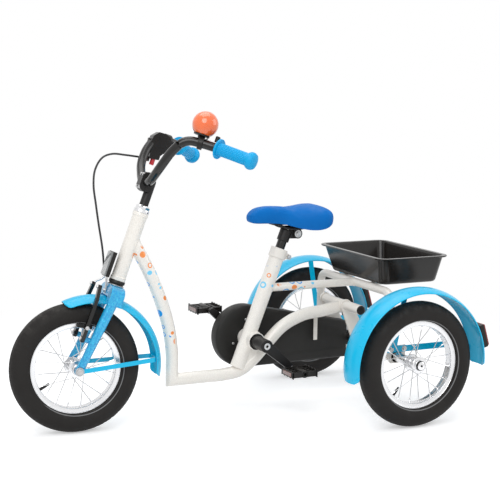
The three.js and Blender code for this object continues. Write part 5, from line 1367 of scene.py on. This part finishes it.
def evaluated(obj):
    graph = bpy.context.evaluated_depsgraph_get()
    return bpy.data.meshes.new_from_object(obj.evaluated_get(graph), depsgraph=graph)


def swell(obj, reach):
    """Foam presses out under a stretched cover, no point further than reach. The underside is held."""
    scene = bpy.context.scene
    drawn = obj.data.copy()
    foam = bpy.data.objects.new("foam", drawn)
    scene.collection.objects.link(foam)
    normals = [vertex.normal.copy() for vertex in drawn.vertices]
    for vertex, normal in zip(drawn.vertices, normals):
        if normal.z > 0:
            vertex.co -= normal * 0.8 * MM
    held = foam.vertex_groups.new(name="underside")
    held.add([i for i, normal in enumerate(normals) if normal.z < -0.15], 1, "REPLACE")
    cloth = foam.modifiers.new("cover", "CLOTH")
    cloth.settings.use_pressure = True
    cloth.settings.uniform_pressure_force = 4
    cloth.settings.effector_weights.gravity = 0
    cloth.settings.vertex_group_mass = "underside"
    for number in range(1, 21):
        scene.frame_set(number)
    swelled = evaluated(foam)
    for before, after in zip(drawn.vertices, swelled.vertices):
        step = after.co - before.co
        if step.length > reach * MM:
            after.co = before.co + step.normalized() * reach * MM
    scene.frame_set(1)
    bpy.data.objects.remove(foam)
    swelled.materials.clear()
    for material in obj.data.materials:
        swelled.materials.append(material)
    swelled.shade_smooth()
    obj.data = swelled
    finer = obj.modifiers.new("finer", "SUBSURF")
    finer.levels = finer.render_levels = 1


def saddle_pad():
    """The padded cover, swelled a little by its foam and drawn in over the base."""
    points_across, power, inset = 41, 0.62, 9
    rise = SADDLE_TOP - SADDLE_SKIRT
    rings = []
    for station in (i / 46 for i in range(47)):
        _, width_share, top_share, skirt_share = blended(SADDLE_RINGS, station)
        ahead = along_saddle(station)
        width = width_share * SADDLE_HALF
        skirt, top = SADDLE_SKIRT + skirt_share * rise, SADDLE_SKIRT + top_share * rise
        seat = max(SADDLE_SEAT, skirt)
        middle = (skirt + top) / 2
        one = []
        for i in range(points_across):
            angle = math.pi * i / (points_across - 1)
            across = math.copysign(abs(math.cos(angle)) ** power, math.cos(angle))
            one.append(at(width * across, ahead, middle + (top - middle) * math.sin(angle) ** power))
        share = max(1 - inset / width, 0.5)
        one += [at(-width * math.sqrt(share), ahead, skirt), at(-width * share, ahead, seat)]
        one += [at(width * share, ahead, seat), at(width * math.sqrt(share), ahead, skirt)]
        rings.append(one)
    obj = make("saddle pad", [(loft(rings), saddle_cover)], "saddle", ("saddle_pad",))
    swell(obj, 3)


def basket():
    """A tapered tray with a wall, a rolled rim and rounded corners."""
    corner, steps = 22, 8

    def around(width, length, radius, ahead, up):
        outline = []
        for qx, qy, first in ((1, 1, 0), (-1, 1, 90), (-1, -1, 180), (1, -1, 270)):
            for k in range(steps + 1):
                t = math.radians(first + 90 * k / steps)
                outline.append(on_circle((qx * (width / 2 - radius), qy * (length / 2 - radius)), radius, t))
        return [at(x, ahead + y, up) for x, y in outline]

    bottom_up, top_up = STAY_UP + HOOP + GAP, 402
    low, high = (272, 168, -76), (315, 195, -71.5)

    def level(share, grow, up=None, radius=corner):
        width, length, ahead = (a + (b - a) * share for a, b in zip(low, high))
        height = bottom_up + (top_up - bottom_up) * share if up is None else up
        return around(width + 2 * grow, length + 2 * grow, radius + grow, ahead, height)

    rings = [
        level(0, -14, bottom_up, 26), level(0, -6, bottom_up + 0.2), level(0.01, -2.4, bottom_up + 1.4),
        level(0.03, -0.2, bottom_up + 4),
    ]
    rings += [level(share / 10, 0) for share in range(1, 9)]
    rings += [
        level(0.93, 0), level(0.935, 1), level(0.94, 9), level(0.95, 10), level(0.985, 10), level(0.997, 9),
        level(1, 7),
    ]
    rings += [level(1, 0), level(0.995, -2.4), level(0.97, -3)]
    rings += [level(share / 10, -3) for share in range(9, 1, -1)]
    rings += [
        level(0.1, -3.4), level(0.07, -5), level(0.05, -9, bottom_up + 3.4), level(0.04, -20, bottom_up + 3),
    ]
    make("basket", [(loft(rings), basket_black)], "frame", ("basket",))


# Steering.
CROWN_BACK, CROWN_FRONT = 15, 19
BOSS = (42, -156)
ARM_TOP = (34, -28)
ARM_DEPTH = 8.5
FORK_FACE = 40
LEG_OUTSIDE = 42 + GAP + 7 + 6
FRONT_FENDER = {
    "ahead": -36.4, "up": 14, "outer": 175, "half": 31, "crown": 15, "thickness": 2.4, "start": 47,
    "end": 171,
}
FENDER_TOP = AXLE_ALONG + FRONT_FENDER["up"] + FRONT_FENDER["outer"]
STAY_TURN = math.radians(156.4)
BRIDGE_SHARE = 0.88


def across_fork(outline, front_face, thickness):
    """A plate square to the fork's front. Its outline is in distances left and along the steering axis."""
    turned_outline = [(-left, up) for left, up in outline]
    return slab(turned_outline, on_fork(0, front_face, 0), -steer_left, steer_up, thickness)


def fender_reach(turn):
    """From the hub to the outside of the front fender, in a direction that turns round the hub."""
    along = FRONT_FENDER["ahead"] * math.cos(turn) + FRONT_FENDER["up"] * math.sin(turn)
    aside = FRONT_FENDER["ahead"] * math.sin(turn) - FRONT_FENDER["up"] * math.cos(turn)
    return along + math.sqrt(FRONT_FENDER["outer"] ** 2 - aside**2)


def mirrored(half):
    return half + [(-x, y) for x, y in reversed(half)]


def boss_place(side, ahead):
    return on_fork(side * BOSS[0], ahead, BOSS[1])


def fork():
    """Crown, steerer, race, and two legs with their eyes and brake bosses."""
    underside = FENDER_TOP + GAP
    leg_left, leg_foot = 47, -214
    inside = leg_left - 12.5
    half = [
        (24, -13.6), (33, -14.4), (44, -17.6), (54, -24), (58.4, -31.6), (59, -36), (59, underside - 18),
        (inside, underside - 18), (inside, underside - 9), (31, underside - 3), (25, underside),
    ]
    crown_shape = across_fork(mirrored(half), CROWN_FRONT, CROWN_FRONT + CROWN_BACK)
    parts = [(crown_shape, fork_glitter)]
    steerer = [(0, -20), (12.6, -20), (12.6, 188.4), (12.2, 189), (11.5, 189), (11.5, 60), (0, 60)]
    parts.append((lathe(steerer, steer_foot, steer_up, 48, closed=False), zinc))
    race = [(12.6, -13.8), (19, -13.8), (20.6, -13.2), (20.6, -11.8), (18, -11), (12.6, -11)]
    parts.append((lathe(race, steer_foot, steer_up, 56), zinc))
    boss_share = (BOSS[1] + 40) / (leg_foot + 40)
    boss_leg = 3 + boss_share * 23
    nut = [(0, 0), (6.5, 0), (6.5, 2.4), (5, 3.5), (3, 3.6), (2.6, 2.2), (0, 2.2)]
    for side in (1, -1):
        top, foot = on_fork(side * leg_left, 3, -36), on_fork(side * (LEG_OUTSIDE - 3), 26, leg_foot)
        legs = [
            (top, 12.6), (top.lerp(foot, 0.35), 12.2), (top.lerp(foot, 0.7), 10.8), (foot, 9.5),
            (foot.lerp(top, -0.03), 8.6),
        ]
        parts.append((sweep([place for place, _ in legs], [size for _, size in legs], 48), fork_glitter))
        eye = link((FORK_OFFSET, AXLE_ALONG), 11, (26, -203), 9.2, 20)
        face = side * LEG_OUTSIDE if side > 0 else side * (LEG_OUTSIDE - 6)
        origin = steer_foot + steer_left * face
        parts.append((slab(eye, origin, -steer_back, steer_up, 6), fork_glitter))
        parts.append((rod(boss_place(side, boss_leg), boss_place(side, FORK_FACE), 7), fork_glitter))
        parts.append((rod(boss_place(side, 39.7), boss_place(side, 49.4), 3.4), zinc))
        parts.append((lathe(nut, boss_place(side, 49.1), -steer_back, 6, closed=False), zinc))
    make("fork", parts, "fork", ("fork",), bevel=2.2)


def front_axle():
    out = LEG_OUTSIDE + GAP + 2 + GAP
    centre = on_fork(0, FORK_OFFSET, AXLE_ALONG)
    parts = [(rod(centre + steer_left * (out + 6.3), centre - steer_left * (out + 6.3), 4.8), zinc)]
    for side in (1, -1):
        face = centre + steer_left * side * out
        parts += zinc_bolt(face, steer_left * side, 9, 6)
        outward = steer_left * side
        parts.append((ring(face - outward * 0.2, face + outward * 1.2, 10.6, 4.9, 40, 0.3), zinc))
        parts.append((ring(centre + outward * 42.4, centre + outward * 49, 8, 4.9, 32), zinc))
    make("front axle", parts, "fork", ("front_axle",), bevel=0.4)


def front_fender():
    centre = on_fork(0, FORK_OFFSET + FRONT_FENDER["ahead"], AXLE_ALONG + FRONT_FENDER["up"])
    sizes = [FRONT_FENDER[key] for key in FENDER_SIZES]
    parts = fender_parts(*fender_rings(centre, steer_left, -steer_back, steer_up, *sizes, steps=72))
    make("front fender", parts, "fork", ("front_fender",), bevel=0.5)


def front_fender_stay():
    """A flat strip from the fork's left eye to the right one, by way of the inside of the fender."""
    hub_place = on_fork(0, FORK_OFFSET, AXLE_ALONG)
    eye_left = LEG_OUTSIDE + GAP + 1
    bridge_left = FRONT_FENDER["half"] * BRIDGE_SHARE
    inside = fender_reach(STAY_TURN) - FRONT_FENDER["thickness"] - FRONT_FENDER["crown"] * BRIDGE_SHARE**2
    near = [(eye_left, 0), (eye_left, 16), (bridge_left, inside - 4.6)]
    path = [place_round(hub_place, left, radius, STAY_TURN) for left, radius in near]
    path += [place_round(hub_place, -left, radius, STAY_TURN) for left, radius in reversed(near)]
    width_way = radial(STAY_TURN).cross(steer_left)
    parts = [bent_strip(bent(path, 6, 5), width_way, 11, 2, fender_blue)]
    for side in (1, -1):
        face = hub_place + steer_left * side * (LEG_OUTSIDE + GAP)
        parts.append((ring(face, face + steer_left * side * 2, 9, 5, 40, 0.4), fender_blue))
    make("front fender stay", parts, "fork", ("front_fender_stay",), bevel=0.4)


def radial(turn):
    return -steer_back * math.cos(turn) + steer_up * math.sin(turn)


def place_round(centre, left, radius, turn):
    return centre + steer_left * left + radial(turn) * radius


def front_reflector():
    middle = on_fork(0, 34, 31)
    parts = [(brick(middle + steer_back * 2, (44, 9, 62), STEERED), black_moulded)]
    parts.append((brick(middle - steer_back * 4, (40, 5, 58), STEERED), lens_clear))
    strap_ahead = CROWN_FRONT + GAP + 1.25
    foot = FENDER_TOP + 3.3
    path = [on_fork(0, strap_ahead, foot), on_fork(0, strap_ahead, -28), on_fork(0, 30, 8)]
    parts.append(bent_strip(bent(path, 8, 6), steer_left, 13, 2.5, zinc))
    parts += zinc_bolt(on_fork(0, strap_ahead + 1.2, foot + 6.5), -steer_back, 5, 4)
    make("front reflector", parts, "fork", ("front_reflector",), bevel=1.2)


GUIDE = [(-34, 44, -28), (-33, 41, -20), (-29, 33, -12), (-27, 28, -5)]
ARM_FRONT = FORK_FACE + GAP + ARM_DEPTH
ARM_MIDDLE = ARM_FRONT - ARM_DEPTH / 2
PAD_UP = AXLE_ALONG + math.sqrt(104.5**2 - (ARM_MIDDLE - FORK_OFFSET) ** 2)


def brake_arm(side, name):
    """A cranked arm on its boss with its spring. The right one carries the curved cable guide."""
    pivot, elbow, top = (side * BOSS[0], BOSS[1]), (side * 46, -58), (side * ARM_TOP[0], ARM_TOP[1])
    parts = []
    for a, ra, b, rb in ((pivot, 9, elbow, 6), (elbow, 6, top, 5.7)):
        parts.append((across_fork(link(a, ra, b, rb, 16), ARM_FRONT, ARM_DEPTH), black_gloss))
    coil = [(7.6, -3), (8.4, -2.2), (7.6, -1.4), (6.8, -2.2)]
    parts.append((lathe(coil, on_fork(side * BOSS[0], FORK_FACE, BOSS[1]), steer_back, 32), zinc))
    if side < 0:
        guide = curve_through([on_fork(*place) for place in GUIDE], 8)
        parts.append((sweep(guide, 2.6, 20), polished))
        parts.append((rod(guide[-1], guide[-1] + (guide[-1] - guide[-2]).normalized() * 4, 3.2), polished))
    parts += zinc_bolt(on_fork(side * ARM_TOP[0], ARM_FRONT, ARM_TOP[1]), -steer_back, 4.4, 4)
    make(f"brake arm {name}", parts, f"brake_arm_{name}", (f"brake_arm_{name}",), bevel=1.6)


def brake_pad(side, name):
    """A rubber block beside the rim, on a stud through the arm."""
    turn = math.atan2(ARM_MIDDLE - FORK_OFFSET, PAD_UP - AXLE_ALONG)
    lengthwise = -steer_back * math.cos(turn) - steer_up * math.sin(turn)
    axes = Matrix((steer_left, lengthwise, steer_left.cross(lengthwise))).transposed()
    rim_half, from_rim, thickness = 14.5, 1.6, 8.5
    middle = on_fork(side * (rim_half + from_rim + thickness / 2), ARM_MIDDLE, PAD_UP)
    stud_from, stud_to = on_fork(side * 24, ARM_MIDDLE, PAD_UP), on_fork(side * 54.5, ARM_MIDDLE, PAD_UP)
    parts = [(brick(middle, (thickness, 36, 9), axes), rubber_black), (rod(stud_from, stud_to, 3), zinc)]
    parts += zinc_bolt(on_fork(side * 51, ARM_MIDDLE, PAD_UP), steer_left * side, 5.5, 3.5)
    make(f"brake pad {name}", parts, f"brake_arm_{name}", (f"brake_pad_{name}",), bevel=0.8)


CLAMP = (15, 246)


def stem():
    rise, radius, half = 9, 15.5, 17
    ahead, up = CLAMP
    outline = link((ahead, up - rise), radius, (ahead, up + rise), radius - 0.3, 20)
    back = [(min(x, ahead - 0.3), y) for x, y in outline]
    front = [(max(x, ahead + 0.3), y) for x, y in outline]
    origin = steer_foot + steer_left * half
    neck = brick(on_fork(0, ahead / 2 - 0.3, up), (22, ahead, 33), STEERED)
    quill_foot = 92
    quill = [(0, quill_foot), (11, quill_foot), (11, up + 4), (10, up + 9), (0, up + 9)]
    parts = [(slab(back, origin, -steer_back, steer_up, 2 * half), black_satin), (neck, black_satin)]
    parts.append((lathe(quill, steer_foot, steer_up, 48, closed=False), black_satin))
    parts += zinc_bolt(on_fork(0, 0, up + rise), steer_up, 5, 5)
    make("stem", parts, "stem", ("stem",), bevel=2)
    parts = [(slab(front, origin, -steer_back, steer_up, 2 * half), black_satin)]
    for side in (1, -1):
        for high in (1, -1):
            place = on_fork(side * 10, ahead + 9, up + high * (rise + radius / 2 - 1))
            socket = [(0, 0), (4, 0), (4, 6.4), (3.4, 7), (2, 7), (1.8, 4.6), (0, 4.6)]
            parts.append((lathe(socket, place, -steer_back, 24, closed=False), zinc))
    make("stem cap", parts, "stem", ("stem_cap",), bevel=2)


BAR_HALF = [(36, 15, 246), (91, 17, 288), (114, 10, 332), (125, -9, 366), (147, -67, 370), (220, -137, 364.4)]


def bar_points(side):
    return [on_fork(side * left, ahead, along) for left, ahead, along in BAR_HALF]


def handlebar():
    places = [*reversed(bar_points(-1)), *bar_points(1)]
    path = bent(places, 22, 10)
    make("handlebar", [(sweep(path, 11, 40), black_gloss)], "handlebar", ("handlebar",))


def fluted(row, turn):
    """The flutes of a grip, between its flange and its ball."""
    return -0.9 * (0.5 + 0.5 * math.cos(24 * turn)) ** 2 if 6 < row < 18 else 0


def grip(side, name):
    points = bar_points(side)
    corner, end = points[-2], points[-1]
    along = (end - corner).normalized()
    start = corner + along * 18
    length = 91
    profile = [(11.4, 0), (23, 0), (24, 1), (24, 4), (23, 5), (16, 5.4), (15, 7)]
    profile += [(15.2, 7 + (length - 16) * k / 12) for k in range(1, 12)]
    profile += [(15, length - 9)]
    ball = [
        (16.5, length - 8), (18.5, length - 7.4), (20.4, length - 4), (21, length), (20.4, length + 4),
        (18, length + 8.2), (12, length + 11), (0, length + 11.8),
    ]
    outline = [*profile, *ball]
    shape = lathe(outline, start, along, 192, closed=False, wave=fluted)
    make(f"grip {name}", [(shape, grip_blue)], "handlebar", (f"grip_{name}",))


def bar_ring(side, share, length, radius, material):
    points = bar_points(side)
    a, b = points[-3], points[-2]
    middle = a.lerp(b, share)
    half = (b - a).normalized() * length / 2
    return middle, (ring(middle - half, middle + half, radius, 11.2, 56, 1), material)


LEVER_HEIGHT = 10.6
LEVER_PATH = [(-150, -2, 351), (-168, -16, 350), (-181, -33, 349), (-202, -58, 348.5), (-231, -88, 348)]


def knurled(row, turn):
    """The ridges of the lock ring on the barrel."""
    return -0.5 * (0.5 + 0.5 * math.cos(20 * turn)) if 0 < row < 5 else 0


def lever_housing():
    """The housing on the bar, the barrel that the cable leaves by, and two cheeks for the lever's pin."""
    outline = [
        (-7.6, 380), (4, 367), (6, 349), (0, 329), (-4, 309), (-29, 313), (-29, 324), (-34, 331),
        (-44, 340), (-49, 358), (-40, 376), (-24, 381),
    ]
    origin = steer_foot + steer_left * -108
    _, clamp_ring = bar_ring(-1, 0.5, 18, 16.5, black_moulded)
    parts = [(slab(outline, origin, -steer_back, steer_up, 34), black_moulded), clamp_ring]
    start, end = on_fork(-118, -12, 309), on_fork(-118, 19, 304.2)
    along = (end - start).normalized()
    barrel = [(0, 6), (6.4, 6), (6.4, 17), (5.4, 18.5), (4, 19), (4, 31), (3.4, 31.4), (0, 31.4)]
    parts.append((lathe(barrel, start, along, 40, closed=False), black_moulded))
    lock = [(0, 12), (7.4, 12), (7.8, 12.6), (7.8, 17.4), (7.4, 18), (0, 18)]
    parts.append((lathe(lock, start, along, 120, closed=False, wave=knurled), black_moulded))
    left, ahead, up = LEVER_PATH[0]
    slot, cheek = LEVER_HEIGHT / 2 + GAP, 3.5
    for low, high in ((-slot - cheek, -slot), (slot, slot + cheek)):
        face_low, face_high = on_fork(left, ahead, up + low), on_fork(left, ahead, up + high)
        parts.append((rod(face_low, face_high, 8, segments=48), black_moulded))
        middle = on_fork(left + 5, ahead, up + (low + high) / 2)
        parts.append((brick(middle, (10, 16, high - low), STEERED), black_moulded))
    pin_low, pin_high = on_fork(left, ahead, up - slot - 4.4), on_fork(left, ahead, up + slot + 4.4)
    parts.append((rod(pin_low, pin_high, 2.8, segments=32), zinc))
    make("lever housing", parts, "handlebar", ("lever_housing",), bevel=3)


def brake_lever():
    """An oval blade from a round eye on the pin to a ball at its tip."""
    left, ahead, up = LEVER_PATH[0]
    path = curve_through([on_fork(*place) for place in LEVER_PATH], 10)
    blade = [(7 * math.cos(t), 4.2 * math.sin(t)) for t in (2 * math.pi * k / 24 for k in range(24))]
    eye_low = on_fork(left, ahead, up - LEVER_HEIGHT / 2)
    eye_high = on_fork(left, ahead, up + LEVER_HEIGHT / 2)
    parts = [(sweep(path, 1, outline=blade, first_side=steer_up), black_moulded)]
    parts.append((rod(eye_low, eye_high, 7, segments=40), black_moulded))
    tip, radius = path[-1], 6.2
    turns = [math.radians(-75 + 15 * k) for k in range(11)]
    ball = [(0, -radius)] + [(radius * math.cos(t), radius * math.sin(t)) for t in turns] + [(0, radius)]
    parts.append((lathe(ball, tip, (tip - path[-2]), 32, closed=False), black_moulded))
    make("brake lever", parts, "brake_lever", ("brake_lever",), bevel=0.8)


def park_button():
    cap = [(0, 0), (4.8, 0), (5.8, 0.8), (6, 1.8), (6, 16), (0, 16)]
    parts = [(lathe(cap, on_fork(-117, -16, 296), steer_up, 48, closed=False), red_plastic)]
    make("park button", parts, "park_button", ("park_button",))


BELL = (130, -40, 414)
BELL_RADIUS, BELL_BOTTOM_SHARE = 31, 0.78
BELL_BOTTOM = -BELL_RADIUS * BELL_BOTTOM_SHARE
THUMB_PIVOT = (130, -56)


def bell_base():
    """A ring on the bar, a post, the disc that the dome sits on, and the thumb lever's pin."""
    centre = on_fork(*BELL)
    middle, clamp_ring = bar_ring(1, 0.56, 12, 15.5, black_moulded)
    spread = math.sqrt(1 - BELL_BOTTOM_SHARE**2) * BELL_RADIUS
    low, high = BELL_BOTTOM - 4.3, BELL_BOTTOM - 0.3
    disc = [
        (0, low), (spread - 0.8, low), (spread, BELL_BOTTOM - 3.5), (spread, BELL_BOTTOM - 0.9),
        (spread - 0.8, high), (0, high),
    ]
    foot = on_fork(BELL[0], BELL[1], BELL[2] + BELL_BOTTOM - 1)
    thumb_foot = on_fork(*THUMB_PIVOT, BELL[2] + BELL_BOTTOM - 0.5)
    parts = [clamp_ring, (rod(middle, foot, 9, segments=48, edge=2), black_moulded)]
    parts.append((lathe(disc, centre, steer_up, 64, closed=False), black_moulded))
    parts.append((rod(thumb_foot, thumb_foot - steer_up * 7.6, 2, segments=24), zinc))
    make("bell base", parts, "handlebar", ("bell_base",), bevel=1)


def bell_dome():
    """A thin shell: its outside, its lining, and the rim between them."""
    centre = on_fork(*BELL)
    wall, steps = 2, 32
    outside, inside = [], []
    start = -math.asin(BELL_BOTTOM_SHARE)
    for i in range(steps + 1):
        angle = start + (math.pi / 2 - start) * i / steps
        outside.append((BELL_RADIUS * math.cos(angle), BELL_RADIUS * math.sin(angle)))
        inside.insert(0, ((BELL_RADIUS - wall) * math.cos(angle), (BELL_RADIUS - wall) * math.sin(angle)))
    outside[-1], inside[0] = (0, BELL_RADIUS), (0, BELL_RADIUS - wall)
    inside[-1] = (inside[-1][0], outside[0][1])
    profiles = (outside, inside, [inside[-1], outside[0]])
    parts = [(lathe(profile, centre, steer_up, 96, closed=False), orange_gloss) for profile in profiles]
    make("bell dome", parts, "handlebar", ("bell_dome",))


def bell_thumb():
    low = BELL[2] + BELL_BOTTOM - 4.3 - GAP - 3
    end = (143, -76)
    outline = link(THUMB_PIVOT, 5, end, 6, 20)
    parts = [(slab(outline, steer_foot + steer_up * low, steer_left, -steer_back, 3), zinc)]
    knob = rod(on_fork(*end, low), on_fork(*end, low + 15), 5.7, segments=40, edge=1.5)
    parts.append((knob, black_moulded))
    make("bell thumb", parts, "bell_thumb", ("bell_thumb",), bevel=0.6)


CABLE_RADIUS = 2.5
CABLE = [
    (-118, 20.6, 304), (-100, 59.5, 295.5), (-80, 96.1, 285.6), (-62, 120.5, 267), (-45, 130.9, 233.1),
    (-36, 124.3, 197.6), (-31, 103.7, 154.1), (-29, 81.5, 111), (-28, 52.5, 57.1), (-27, 33, 12),
    (-27, 28.6, -2.4),
]


def cable():
    """The brake cable in two lengths that meet half way, each listed with the two bodies that its ends are on.
    """
    path = curve_through([on_fork(*place) for place in CABLE], 10)
    half = len(path) // 2
    upper, lower = path[: half + 1], path[half:]
    cables = []
    for name, places, bodies in (("upper", upper, ("handlebar", "stem")), ("lower", lower, ("stem", "fork"))):
        parts = [(sweep(places, CABLE_RADIUS, 16), cable_black)]
        obj = make(f"brake cable {name}", parts, "fork", ("brake_cable",))
        cables.append((obj, bodies, places))
    along = (lower[-1] - lower[-2]).normalized()
    ferrule = (ring(lower[-1] - along * 13, lower[-1], 3.4, 2.6, 32, 0.3), polished)
    make("brake cable ferrule", [ferrule], "fork", ())
    return cables


def bend_lengths(cables):
    """Each length is taken off its body, and its place is baked into its mesh."""
    for obj, (first, second), places in cables:
        world = obj.matrix_world.copy()
        obj.parent = None
        obj.matrix_world = world
        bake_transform(obj)


main_frame()
carrier()
axle_carrier()
headset_cups()
bracket_bearing()
seat_collar()
wheels()
drive_axle()
for side, name in SIDES:
    rear_fender(side, name)
    rear_reflector(side, name)
drive()
chain_case()
cranks()
seat_post()
saddle_clamp()
saddle_base()
saddle_pad()
basket()
fork()
front_axle()
front_fender()
front_fender_stay()
front_reflector()
for side, name in SIDES:
    brake_arm(side, name)
    brake_pad(side, name)
stem()
handlebar()
for side, name in SIDES:
    grip(side, name)
lever_housing()
brake_lever()
park_button()
bell_base()
bell_dome()
bell_thumb()
bend_lengths(cable())


# Camera, light and floor.
def camera():
    data = bpy.data.cameras.new("camera")
    data.lens = 87.4
    data.sensor_width = 36
    eye = bpy.data.objects.new("camera", data)
    bpy.context.scene.collection.objects.link(eye)
    place, target = Vector((2.7432, -1.2711, 0.8574)), Vector((0, 0.0433, 0.4191))
    aim = (target - place).to_track_quat("-Z", "Y")
    roll = Matrix.Rotation(math.radians(0.7), 4, "Z")
    eye.matrix_world = Matrix.Translation(place) @ aim.to_matrix().to_4x4() @ roll
    bpy.context.scene.camera = eye
    return eye


def lamp(name, place, target, size, watts):
    data = bpy.data.lights.new(name, "AREA")
    data.shape = "RECTANGLE"
    data.size, data.size_y = size
    data.energy = watts
    obj = bpy.data.objects.new(name, data)
    obj.location = place
    obj.rotation_euler = (Vector(target) - Vector(place)).to_track_quat("-Z", "Y").to_euler()
    bpy.context.scene.collection.objects.link(obj)
    return obj


def seen(n):
    """One for what the camera sees straight, mirrored or through glass."""
    path = n.add("ShaderNodeLightPath")
    shown = n.math("MAXIMUM", path.outputs["Is Camera Ray"], path.outputs["Is Glossy Ray"])
    return n.math("MAXIMUM", shown, path.outputs["Is Transmission Ray"])


def floor():
    mesh = bpy.data.meshes.new("floor")
    reach = 14
    corners = [(-reach, -reach, 0), (reach, -reach, 0), (reach, reach, 0), (-reach, reach, 0)]
    mesh.from_pydata(corners, [], [(0, 1, 2, 3)])
    obj = bpy.data.objects.new("floor", mesh)
    obj.location.z = -0.0005
    bpy.context.scene.collection.objects.link(obj)
    material = bpy.data.materials.new("floor_white")
    material.use_nodes = True
    tree = material.node_tree
    tree.nodes.clear()
    n = Nodes(tree)
    place = n.add("ShaderNodeTexCoord").outputs["Object"]
    away = n.add("ShaderNodeVectorMath", {"operation": "LENGTH"})
    n.feed(away.inputs[0], place)
    far = n.step(away.outputs["Value"], 0.7, 1.5)
    shown = seen(n)
    lit = n.add("ShaderNodeBsdfDiffuse")
    tone = n.math("MULTIPLY", n.noise(place, 2.0, 3.0), 0.2)
    n.feed(lit.inputs["Color"], n.mix(tone, (0.9, 0.9, 0.9, 1), (0.86, 0.86, 0.86, 1)))
    lift = n.add("ShaderNodeEmission", None, Color=WHITE)
    n.feed(lift.inputs["Strength"], n.math("MULTIPLY", shown, 0.4))
    near = n.add("ShaderNodeAddShader")
    tree.links.new(lit.outputs[0], near.inputs[0])
    tree.links.new(lift.outputs[0], near.inputs[1])
    plain = n.add("ShaderNodeEmission", None, Color=WHITE, Strength=1.0)
    mixer = n.add("ShaderNodeMixShader")
    n.feed(mixer.inputs[0], n.math("MULTIPLY", shown, far))
    tree.links.new(near.outputs[0], mixer.inputs[1])
    tree.links.new(plain.outputs[0], mixer.inputs[2])
    out = n.add("ShaderNodeOutputMaterial")
    tree.links.new(mixer.outputs[0], out.inputs["Surface"])
    mesh.materials.append(material)
    return obj


def world():
    made = bpy.data.worlds.new("studio")
    bpy.context.scene.world = made
    made.use_nodes = True
    tree = made.node_tree
    tree.nodes.clear()
    n = Nodes(tree)
    soft = n.add("ShaderNodeBackground", None, Color=(0.95, 0.97, 1, 1), Strength=0.55)
    plain = n.add("ShaderNodeBackground", None, Color=WHITE, Strength=1.0)
    mixer = n.add("ShaderNodeMixShader")
    n.feed(mixer.inputs[0], seen(n))
    tree.links.new(soft.outputs[0], mixer.inputs[1])
    tree.links.new(plain.outputs[0], mixer.inputs[2])
    out = n.add("ShaderNodeOutputWorld")
    tree.links.new(mixer.outputs[0], out.inputs["Surface"])


# Name, place, aim and size in metres, and watts.
LAMPS = (
    ("key", (2.2, -1.6, 2.6), (0, 0, 0.35), (2.2, 2.2), 52),
    ("fill", (1.2, 2.8, 1.6), (0, 0.1, 0.4), (2, 2), 20),
    ("top", (-0.4, 0, 3.2), (0, 0, 0.3), (2.4, 2.4), 34),
)
stage = [camera(), floor()] + [lamp(*row) for row in LAMPS]
world()
bpy.context.scene.view_settings.view_transform = "Standard"
